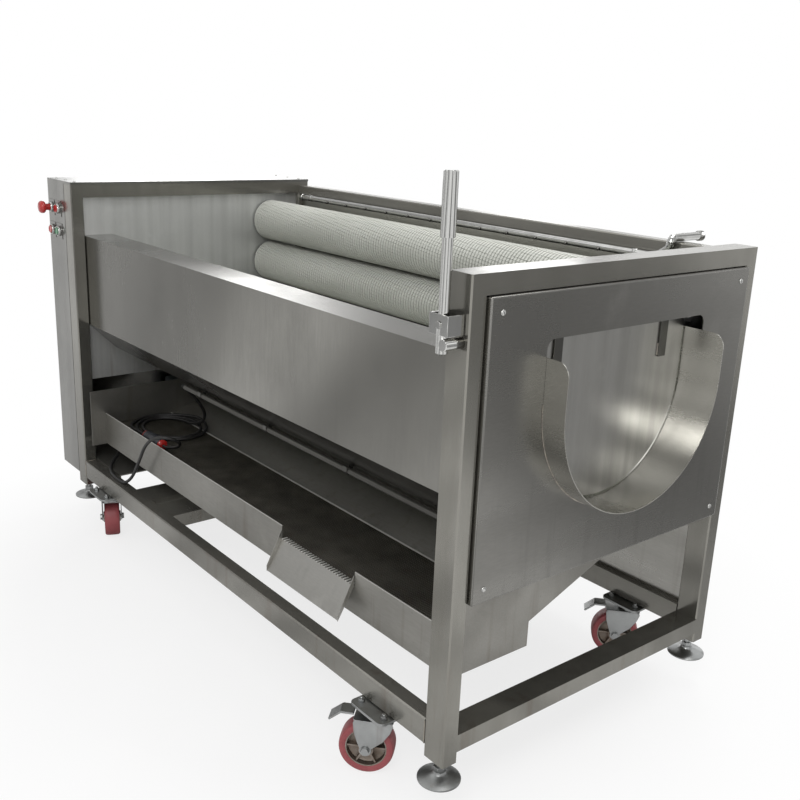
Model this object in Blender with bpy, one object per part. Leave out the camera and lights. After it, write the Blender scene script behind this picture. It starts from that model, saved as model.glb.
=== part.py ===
"""Roller vegetable washer: tube frame, cradle of brush rollers, outlet gate, catch tray and drive housing.

The model is drawn with X = 0 on the outlet posts' face, Y = 0 on the near side and Z = 0 on the floor.
The last step moves it so that the origin lies at the middle of its foot print.
"""

import math

import bmesh
import bpy
from mathutils import Vector

# Clearances and sheet
GAP = 0.0003
OVERRUN = 0.010
SHEET = 0.002

# Frame of rectangular tube
FRAME_LENGTH = 1.906
FRAME_WIDTH = 0.890
FRAME_TOP = 1.144
POST_BOTTOM = 0.139
POST_DEPTH = 0.060
POST_WIDTH = 0.040
TUBE_WALL = 0.002
TUBE_CORNER = 0.003
POST_CAP = 0.006
RAIL_BOTTOM = 0.164
RAIL_HEIGHT = 0.060
CROSSBAR_HEIGHT = 0.040
TOP_RAIL_DROP = 0.012
TOP_RAIL_HEIGHT = 0.032
MEMBER_WIDTH = 0.106
MEMBER_INSETS = (0.5855, 0.4375)
CORNER_STEPS = 1

# Trough
WALL_SETBACK = 0.056
DRIVE_WALL_SETBACK = 0.038
WALL_BOTTOM = 0.496
DRIVE_WALL_BOTTOM = 0.504
PANEL_GUARD_TOP = 0.696
FLANGE_TOP = 0.984
FLANGE_REACH = 0.139
FLANGE_HEM = 0.012
GUARD_REACH = 0.135
GUARD_LOW = 0.603
BACK_PANEL_INSET = 0.020

# Outlet cover, opening and discharge lip
COVER_PROUD = 0.0105
COVER_RETURN = 0.0255
COVER_TOP_GAP = 0.0017
OPENING_MARGIN = 0.043
OPENING_CENTRE_Z = 0.872
OPENING_TOP = 1.0085
OPENING_CORNER = 0.020
LIP_PROUD = 0.068
LIP_ARM_TOP = 0.974
LIP_CORNER = 0.030
ARC_STEPS = 16
CORNER_ARC_STEPS = 3
SCREW_INSET = 0.030
SCREW_RADIUS = 0.008
SCREW_HEIGHT = 0.004

# Gate
GATE_CLEARANCE = 0.004
GATE_SHEET = 0.003
GATE_SETBACK = 0.0363
GATE_TOP = 1.0015
SHAFT_SETBACK = 0.020
SHAFT_Z = 1.019
SHAFT_RADIUS = 0.010
SHAFT_NEAR_Y = -0.0167
SHAFT_BEYOND_LUG = 0.060
LUG_WIDTH = 0.025
LUG_THICKNESS = 0.004
LUG_LOW = 0.915
LUG_SHARE = 0.68
LUG_HEAD = 0.007
BUSH_WIDTH = 0.012
BUSH_HALF_HEIGHT = 0.016
BUSH_END_INSET = 0.008
LEVER_SETBACK = 0.036
LEVER_OFFSET = 0.030
SOCKET_RADIUS = 0.012
SOCKET_LOW = 0.998
SOCKET_TOP = 1.049
LEVER_RADIUS = 0.010
GRIP_RADIUS = 0.0135
GRIP_LOW = 1.205
GRIP_TOP = 1.318
HUB_RADIUS = 0.011
HUB_OUT = 0.044
YOKE_LOW = 1.034
YOKE_TOP = 1.072
YOKE_STRAP = 0.003
YOKE_BACK_REACH = 0.026
YOKE_FRONT_REACH = 0.024
YOKE_CLEARANCE = 0.002

# Brush rollers and their cradle
CRADLE_ALLOWANCE = 0.282
CRADLE_SHARE = 0.25
CRADLE_CENTRE_Z = 0.863
CRADLE_STEP = math.radians(30)
CRADLE_COUNT = 7
UPPER_ROLLER_GAP = 0.003
BRUSH_CLEARANCE = 0.003834
STRAND_LENGTH = 0.012
STRAND_WIDTH = 0.008
STRAND_RINGS = 8
CORE_SIDES = 10
BRUSH_DRIVE_INSET = 0.048
BRUSH_OUTLET_END = 0.066
STUB_RADIUS = 0.0125
STUB_END = 0.022
SPROCKET_TEETH = 12
SPROCKET_TIP = 0.0435
SPROCKET_ROOT = 0.036
SPROCKET_WIDTH = 0.008
SPROCKET_OUT = 0.006
SECOND_SPROCKET_OUT = 0.026
BEARING_RADIUS = 0.035
BEARING_DEPTH = 0.016
BEARING_SIDES = 8
BORE_CLEARANCE = 0.0017
CHAIN_THICKNESS = 0.006
CHAIN_STEPS = 12

# Drive
DRIVE_AXIS_Z = 0.365
SHELF_TOP = 0.2283
SHELF_THICKNESS = 0.004
SHELF_OUT = 0.132
SHELF_INSET = 0.251
GEARBOX_FAR_OUT = 0.129
GEARBOX_NEAR_OUT = 0.049
GEARBOX_HALF_WIDTH = 0.068
GEARBOX_TOP = 0.430
MOTOR_RADIUS = 0.070
MOTOR_LENGTH = 0.250
MOTOR_OUT = 0.049
MOTOR_Z = 0.310
MOTOR_FOOT_LENGTH = 0.160
MOTOR_FOOT_HALF_WIDTH = 0.050
MOTOR_SIDES = 20

# Drive housing and its door
HOUSING_DEPTH = 0.139
HOUSING_BOTTOM = 0.170
HOUSING_TOP = 1.152
DOOR_MARGIN = 0.001

# Operator controls
BUTTON_OUTS = (0.107, 0.051)
BUTTON_ROWS = (1.061, 0.989)
LEGEND_WIDTH = 0.045
LEGEND_HEIGHT = 0.050
LEGEND_THICKNESS = 0.0015
BUTTON_HOLE_RADIUS = 0.0116
BUTTON_STEM_RADIUS = 0.0110
BUTTON_STEM_DEPTH = 0.020
BEZEL_RADIUS = 0.0155
BEZEL_BORE = 0.0128
BEZEL_DEPTH = 0.008
CAP_RADIUS = 0.0120
CAP_FRONT = 0.013
CAP_BACK = 0.0065
MUSHROOM_RADIUS = 0.020
MUSHROOM_FRONT = 0.045
MUSHROOM_BACK = 0.028
ROUND_SIDES = 16

# Catch tray, screen and chute
TRAY_NEAR_Y = 0.060
TRAY_RIM = 0.399
TRAY_BOTTOM = 0.293
TRAY_STEP_Y = 0.285
TRAY_STEP_Z = 0.357
TRAY_LEDGE = 0.016
TRAY_FAR_INSET = 0.024
TRAY_FAR_Z = 0.5815
TRAY_UPSTAND = 0.030
TRAY_DRIVE_INSET = 0.106
TRAY_END_TOP = 0.480
TRAY_EAR_Y = 0.010
TRAY_END_RISE = 0.0042
SCREEN_THICKNESS = 0.003
SCREEN_LAP = 0.014
SCREEN_BAR = 0.004
SCREEN_COLUMNS = 24
SCREEN_ROWS = 3
NOTCH_DRIVE_SIDE = 0.700
NOTCH_OUTLET_SIDE = 0.391
NOTCH_BOTTOM = 0.364
CHUTE_TOP_Y = 0.0579
CHUTE_LOW_Y = 0.015
CHUTE_LOW_Z = 0.289
CHUTE_CHEEK = 0.025

# Spray pipe and water inlet
SPRAY_RADIUS = 0.010
SPRAY_INSET = 0.055
SPRAY_Z = 1.094
SPRAY_DRIVE_INSET = 0.106
INLET_SETBACK = 0.200
INLET_Z = 1.1425
INLET_REACH = 0.070
INLET_BEND = 0.020
COLLAR_RADIUS = 0.013
COLLAR_LENGTH = 0.014
BRACKET_WIDTH = 0.020
BRACKET_SHEET = 0.003
BRACKET_SHARES = (0.04, 0.5, 0.96)

# Conduit under the splash guard
CONDUIT_RADIUS = 0.008
CONDUIT_Y = 0.130
CONDUIT_Z = 0.590
CONDUIT_DRIVE_INSET = 0.556
CLIP_THICKNESS = 0.0015
CLIP_WIDTH = 0.016
CLIP_SHARES = (0.08, 0.36, 0.64, 0.92)

# Casters
CASTER_OUTLET_INSET = 0.217
CASTER_DRIVE_INSET = 0.220
CASTER_NEAR_Y = 0.0195
CASTER_FAR_INSET = 0.020
CASTER_OUTLET_TURN = math.radians(42.4)
CASTER_DRIVE_TURN = math.radians(-22.6)
ADAPTER_LENGTH = 0.115
ADAPTER_WIDTH = 0.110
ADAPTER_THICKNESS = 0.006
ADAPTER_CORNER = 0.015
TOP_PLATE_LENGTH = 0.105
TOP_PLATE_WIDTH = 0.085
TOP_PLATE_THICKNESS = 0.004
BOLT_X = 0.040
BOLT_Y = 0.032
BOLT_RADIUS = 0.0085
BOLT_HEAD = 0.006
RACE_RADIUS = 0.030
FORK_SHEET = 0.003
FORK_INNER_WIDTH = 0.057
FORK_CROWN_TOP = 0.137
FORK_FRONT = 0.026
FORK_BACK = 0.0631
FORK_LEG_HALF = 0.014
FORK_LEG_BELOW_AXLE = 0.014
WHEEL_RADIUS = 0.0625
WHEEL_WIDTH = 0.048
WHEEL_TRAIL = 0.034
WHEEL_SIDES = 20
TYRE_INNER = 0.046
TYRE_SHOULDER = 0.008
WEB_HALF = 0.008
HUB_RADIUS_WHEEL = 0.018
HUB_HALF_WIDTH = 0.0275
AXLE_RADIUS = 0.006
AXLE_HEAD_RADIUS = 0.010
AXLE_HEAD = 0.007
PEDAL_PIVOT_TRAIL = 0.066
PEDAL_PIVOT_Z = 0.1423
PEDAL_TIP_TRAIL = 0.120
PEDAL_TIP_Z = 0.121
PEDAL_THICKNESS = 0.005
PEDAL_HALF_WIDTH = 0.018

# Levelling feet
FOOT_RADIUS = 0.046
FOOT_BOTTOM = 0.091
FOOT_EDGE = 0.005
FOOT_SHOULDER_RADIUS = 0.028
FOOT_SHOULDER = 0.014
FOOT_NECK_RADIUS = 0.014
FOOT_NECK = 0.018
FOOT_HEX = 0.032
STEM_RADIUS = 0.008
STEM_CLEARANCE = 0.0006
STEM_LENGTH = 0.198
FOOT_SIDES = 12

# Mains cord, coupler and gland
CORD_RADIUS = 0.005
CORD_SPACING = 0.034
CORD_LEAD = 0.012
GLAND_INSET = 0.033
GLAND_Z = 0.330
GLAND_RADIUS = 0.011
GLAND_NUT = 0.008
GLAND_DOME_RADIUS = 0.0085
GLAND_LENGTH = 0.020
COUPLER_START_INSET = 0.343
COUPLER_END_INSET = 0.468
COUPLER_Y = 0.094
COUPLER_RADIUS = 0.021
COUPLER_WAIST = 0.016
COUPLER_CHAMFER = 0.006
LOOP_INSET = 0.266
LOOP_Y = 0.216
LOOP_HALF_LENGTH = 0.150
LOOP_HALF_WIDTH = 0.122
LOOP_PITCH = 0.018
LOOP_TURNS = 2.5
LOOP_POINTS_A_TURN = 12

# Values worked out from those above
DRIVE_X = -FRAME_LENGTH
DRIVE_INNER_X = DRIVE_X + POST_DEPTH
OUTLET_INNER_X = -POST_DEPTH
FAR_INNER_Y = FRAME_WIDTH - POST_WIDTH
MIDDLE_Y = FRAME_WIDTH / 2
MEMBER_SETBACKS = tuple(FRAME_LENGTH - inset for inset in MEMBER_INSETS)
CASTER_SETBACKS = (CASTER_OUTLET_INSET, FRAME_LENGTH - CASTER_DRIVE_INSET)
CASTER_FAR_Y = FRAME_WIDTH - CASTER_FAR_INSET
RAIL_TOP = RAIL_BOTTOM + RAIL_HEIGHT
INNER_NEAR_Y = POST_WIDTH + GAP
INNER_FAR_Y = FAR_INNER_Y - GAP
SPAN_START = DRIVE_INNER_X + GAP
SPAN_END = OUTLET_INNER_X - GAP
TOP_BAR_BOTTOM = FRAME_TOP - CROSSBAR_HEIGHT
TOP_RAIL_TOP = FRAME_TOP - TOP_RAIL_DROP
TOP_RAIL_BOTTOM = TOP_RAIL_TOP - TOP_RAIL_HEIGHT
OUTLET_WALL_X = -WALL_SETBACK
DRIVE_WALL_X = DRIVE_X + DRIVE_WALL_SETBACK
CRADLE_RADIUS = (FRAME_WIDTH + CRADLE_ALLOWANCE) * CRADLE_SHARE
BRUSH_RADIUS = CRADLE_RADIUS * math.sin(CRADLE_STEP / 2) - BRUSH_CLEARANCE
CORE_RADIUS = BRUSH_RADIUS - STRAND_LENGTH
UPPER_ROLLER_Z = CRADLE_CENTRE_Z + 2 * BRUSH_RADIUS + UPPER_ROLLER_GAP
BRUSH_DRIVE_END = FRAME_LENGTH - BRUSH_DRIVE_INSET
SPROCKET_SETBACK = FRAME_LENGTH + SPROCKET_OUT
SECOND_SPROCKET_SETBACK = FRAME_LENGTH + SECOND_SPROCKET_OUT
OPENING_RADIUS = CRADLE_RADIUS - OPENING_MARGIN
LUG_SPREAD = OPENING_RADIUS * LUG_SHARE
SHAFT_FAR_Y = MIDDLE_Y + LUG_SPREAD + SHAFT_BEYOND_LUG
LIP_OUTER = OPENING_RADIUS - GAP
LIP_INNER = LIP_OUTER - SHEET
STUB_BORE = STUB_RADIUS + BORE_CLEARANCE
CHAIN_INNER = (SPROCKET_TIP + GAP) / math.cos(math.pi / CHAIN_STEPS)
SHELF_START = FRAME_LENGTH + SHELF_OUT
SHELF_END = FRAME_LENGTH - SHELF_INSET
GEARBOX_START = FRAME_LENGTH + GEARBOX_FAR_OUT
GEARBOX_END = FRAME_LENGTH + GEARBOX_NEAR_OUT
MOTOR_SETBACK = FRAME_LENGTH + MOTOR_OUT
HOUSING_START = FRAME_LENGTH + HOUSING_DEPTH
BUTTON_SETBACKS = tuple(FRAME_LENGTH + out for out in BUTTON_OUTS)
SPRAY_Y = FRAME_WIDTH - SPRAY_INSET
SPRAY_DRIVE_END = FRAME_LENGTH - SPRAY_DRIVE_INSET
INLET_END_Y = FRAME_WIDTH + INLET_REACH
CONDUIT_DRIVE_END = FRAME_LENGTH - CONDUIT_DRIVE_INSET
GLAND_SETBACK = FRAME_LENGTH - GLAND_INSET
COUPLER_START = FRAME_LENGTH - COUPLER_START_INSET
COUPLER_END = FRAME_LENGTH - COUPLER_END_INSET
LOOP_SETBACK = FRAME_LENGTH - LOOP_INSET
TRAY_DRIVE_END = FRAME_LENGTH - TRAY_DRIVE_INSET
TRAY_FAR_Y = FRAME_WIDTH - TRAY_FAR_INSET
SCREEN_Z = TRAY_STEP_Z + SHEET + GAP
SCREEN_TOP = SCREEN_Z + SCREEN_THICKNESS
TRAY_SLOPE = (TRAY_FAR_Z - TRAY_STEP_Z) / (TRAY_FAR_Y - TRAY_STEP_Y - TRAY_LEDGE)
SLOPE_STRETCH = math.hypot(1, TRAY_SLOPE)
TRAY_END_BEND_Y = TRAY_STEP_Y + TRAY_LEDGE + (TRAY_END_TOP - TRAY_STEP_Z - TRAY_END_RISE) / TRAY_SLOPE
ADAPTER_BOTTOM = RAIL_BOTTOM - GAP - ADAPTER_THICKNESS
TOP_PLATE_BOTTOM = ADAPTER_BOTTOM - TOP_PLATE_THICKNESS
CORD_NODES = ("cord_supply", "cord_loops", "cord_coupler")

# The finishes: colour, metallic value and roughness
FINISHES = {
    "stainless": ((0.60, 0.59, 0.55, 1.0), 1.0, 0.35),
    "brushed_stainless": ((0.66, 0.66, 0.63, 1.0), 1.0, 0.42),
    "zinc": ((0.55, 0.56, 0.57, 1.0), 1.0, 0.40),
    "brush_fibre": ((0.74, 0.77, 0.68, 1.0), 0.0, 0.85),
    "red_tyre": ((0.55, 0.07, 0.05, 1.0), 0.0, 0.55),
    "grey_paint": ((0.30, 0.33, 0.34, 1.0), 0.0, 0.50),
    "black_plastic": ((0.03, 0.03, 0.03, 1.0), 0.0, 0.45),
    "red_plastic": ((0.62, 0.04, 0.03, 1.0), 0.0, 0.35),
    "green_plastic": ((0.05, 0.38, 0.14, 1.0), 0.0, 0.35),
    "black_rubber": ((0.02, 0.02, 0.02, 1.0), 0.0, 0.60),
    "grey_plastic": ((0.55, 0.56, 0.55, 1.0), 0.0, 0.45),
    "dark_steel": ((0.22, 0.21, 0.20, 1.0), 1.0, 0.45),
}


def clear_scene():
    """Remove every object that the scene holds."""
    for item in list(bpy.data.objects):
        bpy.data.objects.remove(item, do_unlink=True)


def finish_material(name):
    """Return the Principled material of the named finish."""
    found = bpy.data.materials.get(name)
    if found:
        return found
    colour, metallic, roughness = FINISHES[name]
    made = bpy.data.materials.new(name)
    made.use_nodes = True
    shader = made.node_tree.nodes["Principled BSDF"]
    shader.inputs["Base Color"].default_value = colour
    shader.inputs["Metallic"].default_value = metallic
    shader.inputs["Roughness"].default_value = roughness
    made.diffuse_color = colour
    return made


def root_empty():
    """Return the empty that every piece hangs from, making it once."""
    found = bpy.data.objects.get("washer_frame")
    if found:
        return found
    empty = bpy.data.objects.new("washer_frame", None)
    bpy.context.collection.objects.link(empty)
    return empty


def add_object(name, data, finish):
    """Link an object under the root empty and give it its finish."""
    made = bpy.data.objects.new(name, data)
    bpy.context.collection.objects.link(made)
    made.parent = root_empty()
    if finish:
        data.materials.append(finish_material(finish))
    return made


def mesh_object(name, bm, finish, origin=(0, 0, 0), smooth=False):
    """Turn a bmesh drawn in frame coordinates into an object whose origin lies at the given point."""
    bmesh.ops.recalc_face_normals(bm, faces=bm.faces)
    bmesh.ops.translate(bm, verts=bm.verts, vec=-Vector(origin))
    mesh = bpy.data.meshes.new(name)
    bm.to_mesh(mesh)
    bm.free()
    if smooth:
        mesh.shade_smooth()
        mesh.set_sharp_from_angle(angle=math.radians(35))
    made = add_object(name, mesh, finish)
    made.location = origin
    return made


def tool_object(name, bm):
    """Turn a bmesh into a cutter that stays out of the render."""
    made = mesh_object(name, bm, None)
    made.hide_render = True
    made.display_type = "WIRE"
    return made


def combine(target, name, bm, operation):
    """Cut a shape from the target, or fuse it on."""
    tool = tool_object(name, bm)
    modifier = target.modifiers.new(name, "BOOLEAN")
    modifier.operation = operation
    modifier.object = tool
    return tool


def on_axis(axis, along, first, second):
    """Place a section point: X takes (y, z), Y takes (x, z) and Z takes (x, y)."""
    if axis == "X":
        return (along, first, second)
    if axis == "Y":
        return (first, along, second)
    return (first, second, along)


def extrude(bm, outline, axis, start, end):
    """Add the prism of a closed outline between two places on an axis."""
    low = [bm.verts.new(on_axis(axis, start, *point)) for point in outline]
    high = [bm.verts.new(on_axis(axis, end, *point)) for point in outline]
    bm.faces.new(low)
    bm.faces.new(list(reversed(high)))
    for index in range(len(outline)):
        after = (index + 1) % len(outline)
        bm.faces.new((low[index], high[index], high[after], low[after]))


def extrude_ring(bm, outer, inner, axis, start, end):
    """Add the prism between two outlines of as many points, open all the way through."""
    loops = []
    for outline in (outer, inner):
        for along in (start, end):
            loops.append([bm.verts.new(on_axis(axis, along, *point)) for point in outline])
    outer_low, outer_high, inner_low, inner_high = loops
    for first, second in ((outer_low, outer_high), (outer_high, inner_high),
                          (inner_high, inner_low), (inner_low, outer_low)):
        for index in range(len(outer)):
            after = (index + 1) % len(outer)
            bm.faces.new((first[index], second[index], second[after], first[after]))


def box(bm, low, high):
    """Add a box between two corners."""
    outline = rectangle(low[0], low[1], high[0], high[1])
    extrude(bm, outline, "Z", low[2], high[2])


def rectangle(left, bottom, right, top):
    """Return the four points of a rectangle."""
    return [(left, bottom), (right, bottom), (right, top), (left, top)]


def arc(centre, radius, start, end, steps):
    """Return points along an arc, both ends included."""
    points = []
    for index in range(steps + 1):
        angle = start + (end - start) * index / steps
        points.append((centre[0] + radius * math.cos(angle), centre[1] + radius * math.sin(angle)))
    return points


def circle(centre, radius, sides, turn=0.0):
    """Return the points of a regular polygon."""
    return arc(centre, radius, turn, turn + math.tau * (sides - 1) / sides, sides - 1)


def rounded_rectangle(left, bottom, right, top, radius, steps):
    """Return a rectangle's outline with round corners."""
    quarter = math.pi / 2
    points = arc((right - radius, top - radius), radius, 0, quarter, steps)
    points += arc((left + radius, top - radius), radius, quarter, quarter * 2, steps)
    points += arc((left + radius, bottom + radius), radius, quarter * 2, quarter * 3, steps)
    points += arc((right - radius, bottom + radius), radius, quarter * 3, quarter * 4, steps)
    return points


def bent_sheet(path, thickness):
    """Return the outline of a bent sheet that lies to the left of its path."""
    offset = []
    for index, point in enumerate(path):
        here = Vector(point)
        before = (here - Vector(path[index - 1])).normalized() if index else None
        after = (Vector(path[index + 1]) - here).normalized() if index + 1 < len(path) else None
        before = before or after
        after = after or before
        normal = Vector((-before.y, before.x)) + Vector((-after.y, after.x))
        normal.normalize()
        stretch = thickness / normal.dot(Vector((-after.y, after.x)))
        offset.append(tuple(here + normal * stretch))
    return list(path) + list(reversed(offset))


def tube(bm, axis, start, end, low, high):
    """Add a hollow rectangular tube, open at both ends."""
    outer = rounded_rectangle(*low, *high, TUBE_CORNER, CORNER_STEPS)
    inner_low = [value + TUBE_WALL for value in low]
    inner_high = [value - TUBE_WALL for value in high]
    inner = rounded_rectangle(*inner_low, *inner_high, TUBE_CORNER - TUBE_WALL, CORNER_STEPS)
    extrude_ring(bm, outer, inner, axis, start, end)


def lathe(bm, profile, axis, centre, sides, turn=0.0):
    """Turn a profile of (radius, place on the axis) about an axis through the centre."""
    rings = []
    for radius, along in profile:
        if radius == 0:
            rings.append([bm.verts.new(on_axis(axis, along, *centre))])
        else:
            points = circle(centre, radius, sides, turn)
            rings.append([bm.verts.new(on_axis(axis, along, *point)) for point in points])
    closed = len(rings[0]) > 1
    pairs = list(zip(rings, rings[1:] + rings[:1])) if closed else list(zip(rings, rings[1:]))
    for first, second in pairs:
        join_rings(bm, first, second, sides)
    return rings


def join_rings(bm, first, second, sides):
    """Bridge two rings, either of which may be a single point."""
    for index in range(sides):
        after = (index + 1) % sides
        corners = [first[index % len(first)], second[index % len(second)],
                   second[after % len(second)], first[after % len(first)]]
        unique = list(dict.fromkeys(corners))
        if len(unique) > 2:
            bm.faces.new(unique)


def rod(bm, axis, centre, radius, start, end, sides, turn=0.0):
    """Add a solid round rod."""
    extrude(bm, circle(centre, radius, sides, turn), axis, start, end)


def sweep(bm, points, radius, sides):
    """Add a round pipe along a path of points."""
    places = [Vector(point) for point in points]
    side = Vector((0, 0, 1))
    rings = []
    for index, place in enumerate(places):
        before = places[max(index - 1, 0)]
        after = places[min(index + 1, len(places) - 1)]
        along = (after - before).normalized()
        side = (side - along * side.dot(along)).normalized()
        across = along.cross(side)
        turns = [math.tau * step / sides for step in range(sides)]
        rings.append([bm.verts.new(place + (side * math.cos(turn) + across * math.sin(turn)) * radius)
                      for turn in turns])
    for first, second in zip(rings, rings[1:]):
        join_rings(bm, first, second, sides)
    bm.faces.new(rings[0])
    bm.faces.new(rings[-1])


def smooth_route(route, spacing):
    """Return evenly spaced points along a smooth curve through the route's points."""
    knots = [Vector(point) for point in route]
    fine = []
    steps = 24
    for index in range(len(knots) - 1):
        start, end = knots[index], knots[index + 1]
        before = knots[index - 1] if index else start * 2 - end
        after = knots[index + 2] if index + 2 < len(knots) else end * 2 - start
        for step in range(steps):
            share = step / steps
            fine.append(spline_point(before, start, end, after, share))
    fine.append(knots[-1])
    lengths = [0.0]
    for first, second in zip(fine, fine[1:]):
        lengths.append(lengths[-1] + (second - first).length)
    count = max(2, round(lengths[-1] / spacing))
    points = []
    for index in range(count + 1):
        wanted = lengths[-1] * index / count
        place = next(k for k in range(1, len(lengths)) if lengths[k] >= wanted - GAP or k == len(lengths) - 1)
        part = (wanted - lengths[place - 1]) / (lengths[place] - lengths[place - 1])
        points.append(fine[place - 1].lerp(fine[place], min(max(part, 0.0), 1.0)))
    return points, lengths[-1]


def spline_point(before, start, end, after, share):
    """Return a point of the Catmull-Rom span from start to end."""
    square = share * share
    cube = square * share
    return 0.5 * (start * 2 + (end - before) * share
                  + (before * 2 - start * 5 + end * 4 - after) * square
                  + (start * 3 - before - end * 3 + after) * cube)


def cord_object(name, points, finish):
    """Make a round cord along the points as a bevelled curve with filled caps."""
    curve = bpy.data.curves.new(name, "CURVE")
    curve.dimensions = "3D"
    curve.bevel_depth = CORD_RADIUS
    curve.bevel_resolution = 2
    curve.use_fill_caps = True
    spline = curve.splines.new("POLY")
    spline.points.add(len(points) - 1)
    for target, point in zip(spline.points, points):
        target.co = (*point, 1.0)
    return add_object(name, curve, finish)


def slope_height(y):
    """Return the height of what a cord lies on in the tray: the screen, then the sloped plate."""
    slope = TRAY_STEP_Z + SHEET * SLOPE_STRETCH + TRAY_SLOPE * (y - TRAY_STEP_Y - TRAY_LEDGE)
    return max(SCREEN_TOP, slope)


def rail_height(_y):
    """Return the height of the near side rail, which the supply cord lies on."""
    return RAIL_TOP


def roller_places():
    """Return the (y, z) axes of the brush rollers: the cradle's, near side first, then the upper one."""
    places = []
    for index in range(CRADLE_COUNT):
        angle = math.pi + index * CRADLE_STEP
        places.append((MIDDLE_Y + CRADLE_RADIUS * math.cos(angle),
                       CRADLE_CENTRE_Z + CRADLE_RADIUS * math.sin(angle)))
    places.append((MIDDLE_Y + CRADLE_RADIUS, UPPER_ROLLER_Z))
    return places


def bottom_roller():
    """Return the index of the roller at the bottom of the cradle, which the motor drives."""
    return CRADLE_COUNT // 2


def foot_places():
    """Return the (x, y) axes of the levelling feet, one under each post."""
    outlet_x = OUTLET_INNER_X / 2
    drive_x = DRIVE_X + POST_DEPTH / 2
    near_y = POST_WIDTH / 2
    far_y = FRAME_WIDTH - POST_WIDTH / 2
    return [(outlet_x, near_y), (outlet_x, far_y), (drive_x, near_y), (drive_x, far_y)]


def make_portal(name, left, feet):
    """Make a welded end frame: two posts with closed tops, the bottom cross tube and the top tube."""
    posts, cavities = bmesh.new(), bmesh.new()
    right = left + POST_DEPTH
    for front in (0.0, FAR_INNER_Y):
        back = front + POST_WIDTH
        outline = rounded_rectangle(left, front, right, back, TUBE_CORNER, CORNER_STEPS)
        extrude(posts, outline, "Z", POST_BOTTOM, FRAME_TOP)
        box(cavities, (left + TUBE_WALL, front + TUBE_WALL, POST_BOTTOM + POST_CAP),
            (right - TUBE_WALL, back - TUBE_WALL, FRAME_TOP - TUBE_WALL))
    portal = mesh_object(name, posts, "stainless")
    bars, bores = bmesh.new(), bmesh.new()
    for low in (RAIL_BOTTOM, TOP_BAR_BOTTOM):
        high = low + CROSSBAR_HEIGHT
        box(bars, (left, POST_WIDTH / 2, low), (right, FRAME_WIDTH - POST_WIDTH / 2, high))
        box(bores, (left + TUBE_WALL, POST_WIDTH / 2, low + TUBE_WALL),
            (right - TUBE_WALL, FRAME_WIDTH - POST_WIDTH / 2, high - TUBE_WALL))
    holes = bmesh.new()
    for place in feet:
        rod(holes, "Z", place, STEM_RADIUS + STEM_CLEARANCE, POST_BOTTOM - OVERRUN,
            POST_BOTTOM + POST_CAP + OVERRUN, FOOT_SIDES)
    combine(portal, name + "_bars", bars, "UNION")
    combine(portal, name + "_cavities", cavities, "DIFFERENCE")
    combine(portal, name + "_bores", bores, "DIFFERENCE")
    combine(portal, name + "_holes", holes, "DIFFERENCE")
    return portal


def make_frame():
    """Make the two end frames, the base and the top rail."""
    feet = foot_places()
    outlet = make_portal("outlet_portal", OUTLET_INNER_X, feet[:2])
    bore = bmesh.new()
    rod(bore, "Y", (-SHAFT_SETBACK, SHAFT_Z), SHAFT_RADIUS + STEM_CLEARANCE, -OVERRUN,
        POST_WIDTH + OVERRUN, ROUND_SIDES)
    combine(outlet, "shaft_bore", bore, "DIFFERENCE")
    make_portal("drive_portal", DRIVE_X, feet[2:])
    make_base()
    bm = bmesh.new()
    tube(bm, "X", SPAN_START, SPAN_END, (FAR_INNER_Y, TOP_RAIL_BOTTOM), (FRAME_WIDTH, TOP_RAIL_TOP))
    mesh_object("top_rail", bm, "stainless")


def make_base():
    """Make the welded base: two side rails and two wide cross members near the drive end."""
    rails, bores = bmesh.new(), bmesh.new()
    for front in (0.0, FAR_INNER_Y):
        back = front + POST_WIDTH
        outline = rounded_rectangle(front, RAIL_BOTTOM, back, RAIL_TOP, TUBE_CORNER, CORNER_STEPS)
        extrude(rails, outline, "X", SPAN_START, SPAN_END)
        box(bores, (SPAN_START - OVERRUN, front + TUBE_WALL, RAIL_BOTTOM + TUBE_WALL),
            (SPAN_END + OVERRUN, back - TUBE_WALL, RAIL_TOP - TUBE_WALL))
    base = mesh_object("base_frame", rails, "stainless")
    members, cavities = bmesh.new(), bmesh.new()
    low = RAIL_TOP - CROSSBAR_HEIGHT
    for setback in MEMBER_SETBACKS:
        left, right = -setback - MEMBER_WIDTH / 2, -setback + MEMBER_WIDTH / 2
        box(members, (left, POST_WIDTH / 2, low), (right, FRAME_WIDTH - POST_WIDTH / 2, RAIL_TOP))
        box(cavities, (left + TUBE_WALL, POST_WIDTH / 2, low + TUBE_WALL),
            (right - TUBE_WALL, FRAME_WIDTH - POST_WIDTH / 2, RAIL_TOP - TUBE_WALL))
    combine(base, "base_members", members, "UNION")
    combine(base, "base_bores", bores, "DIFFERENCE")
    combine(base, "member_cavities", cavities, "DIFFERENCE")


def opening_outline(radius, top, corner, corner_steps):
    """Return the U outline of the outlet opening in (y, z)."""
    centre = (MIDDLE_Y, OPENING_CENTRE_Z)
    points = arc(centre, radius, math.pi, math.tau, ARC_STEPS)
    right = MIDDLE_Y + radius
    left = MIDDLE_Y - radius
    points += arc((right - corner, top - corner), corner, 0, math.pi / 2, corner_steps)
    points += arc((left + corner, top - corner), corner, math.pi / 2, math.pi, corner_steps)
    return points


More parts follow.
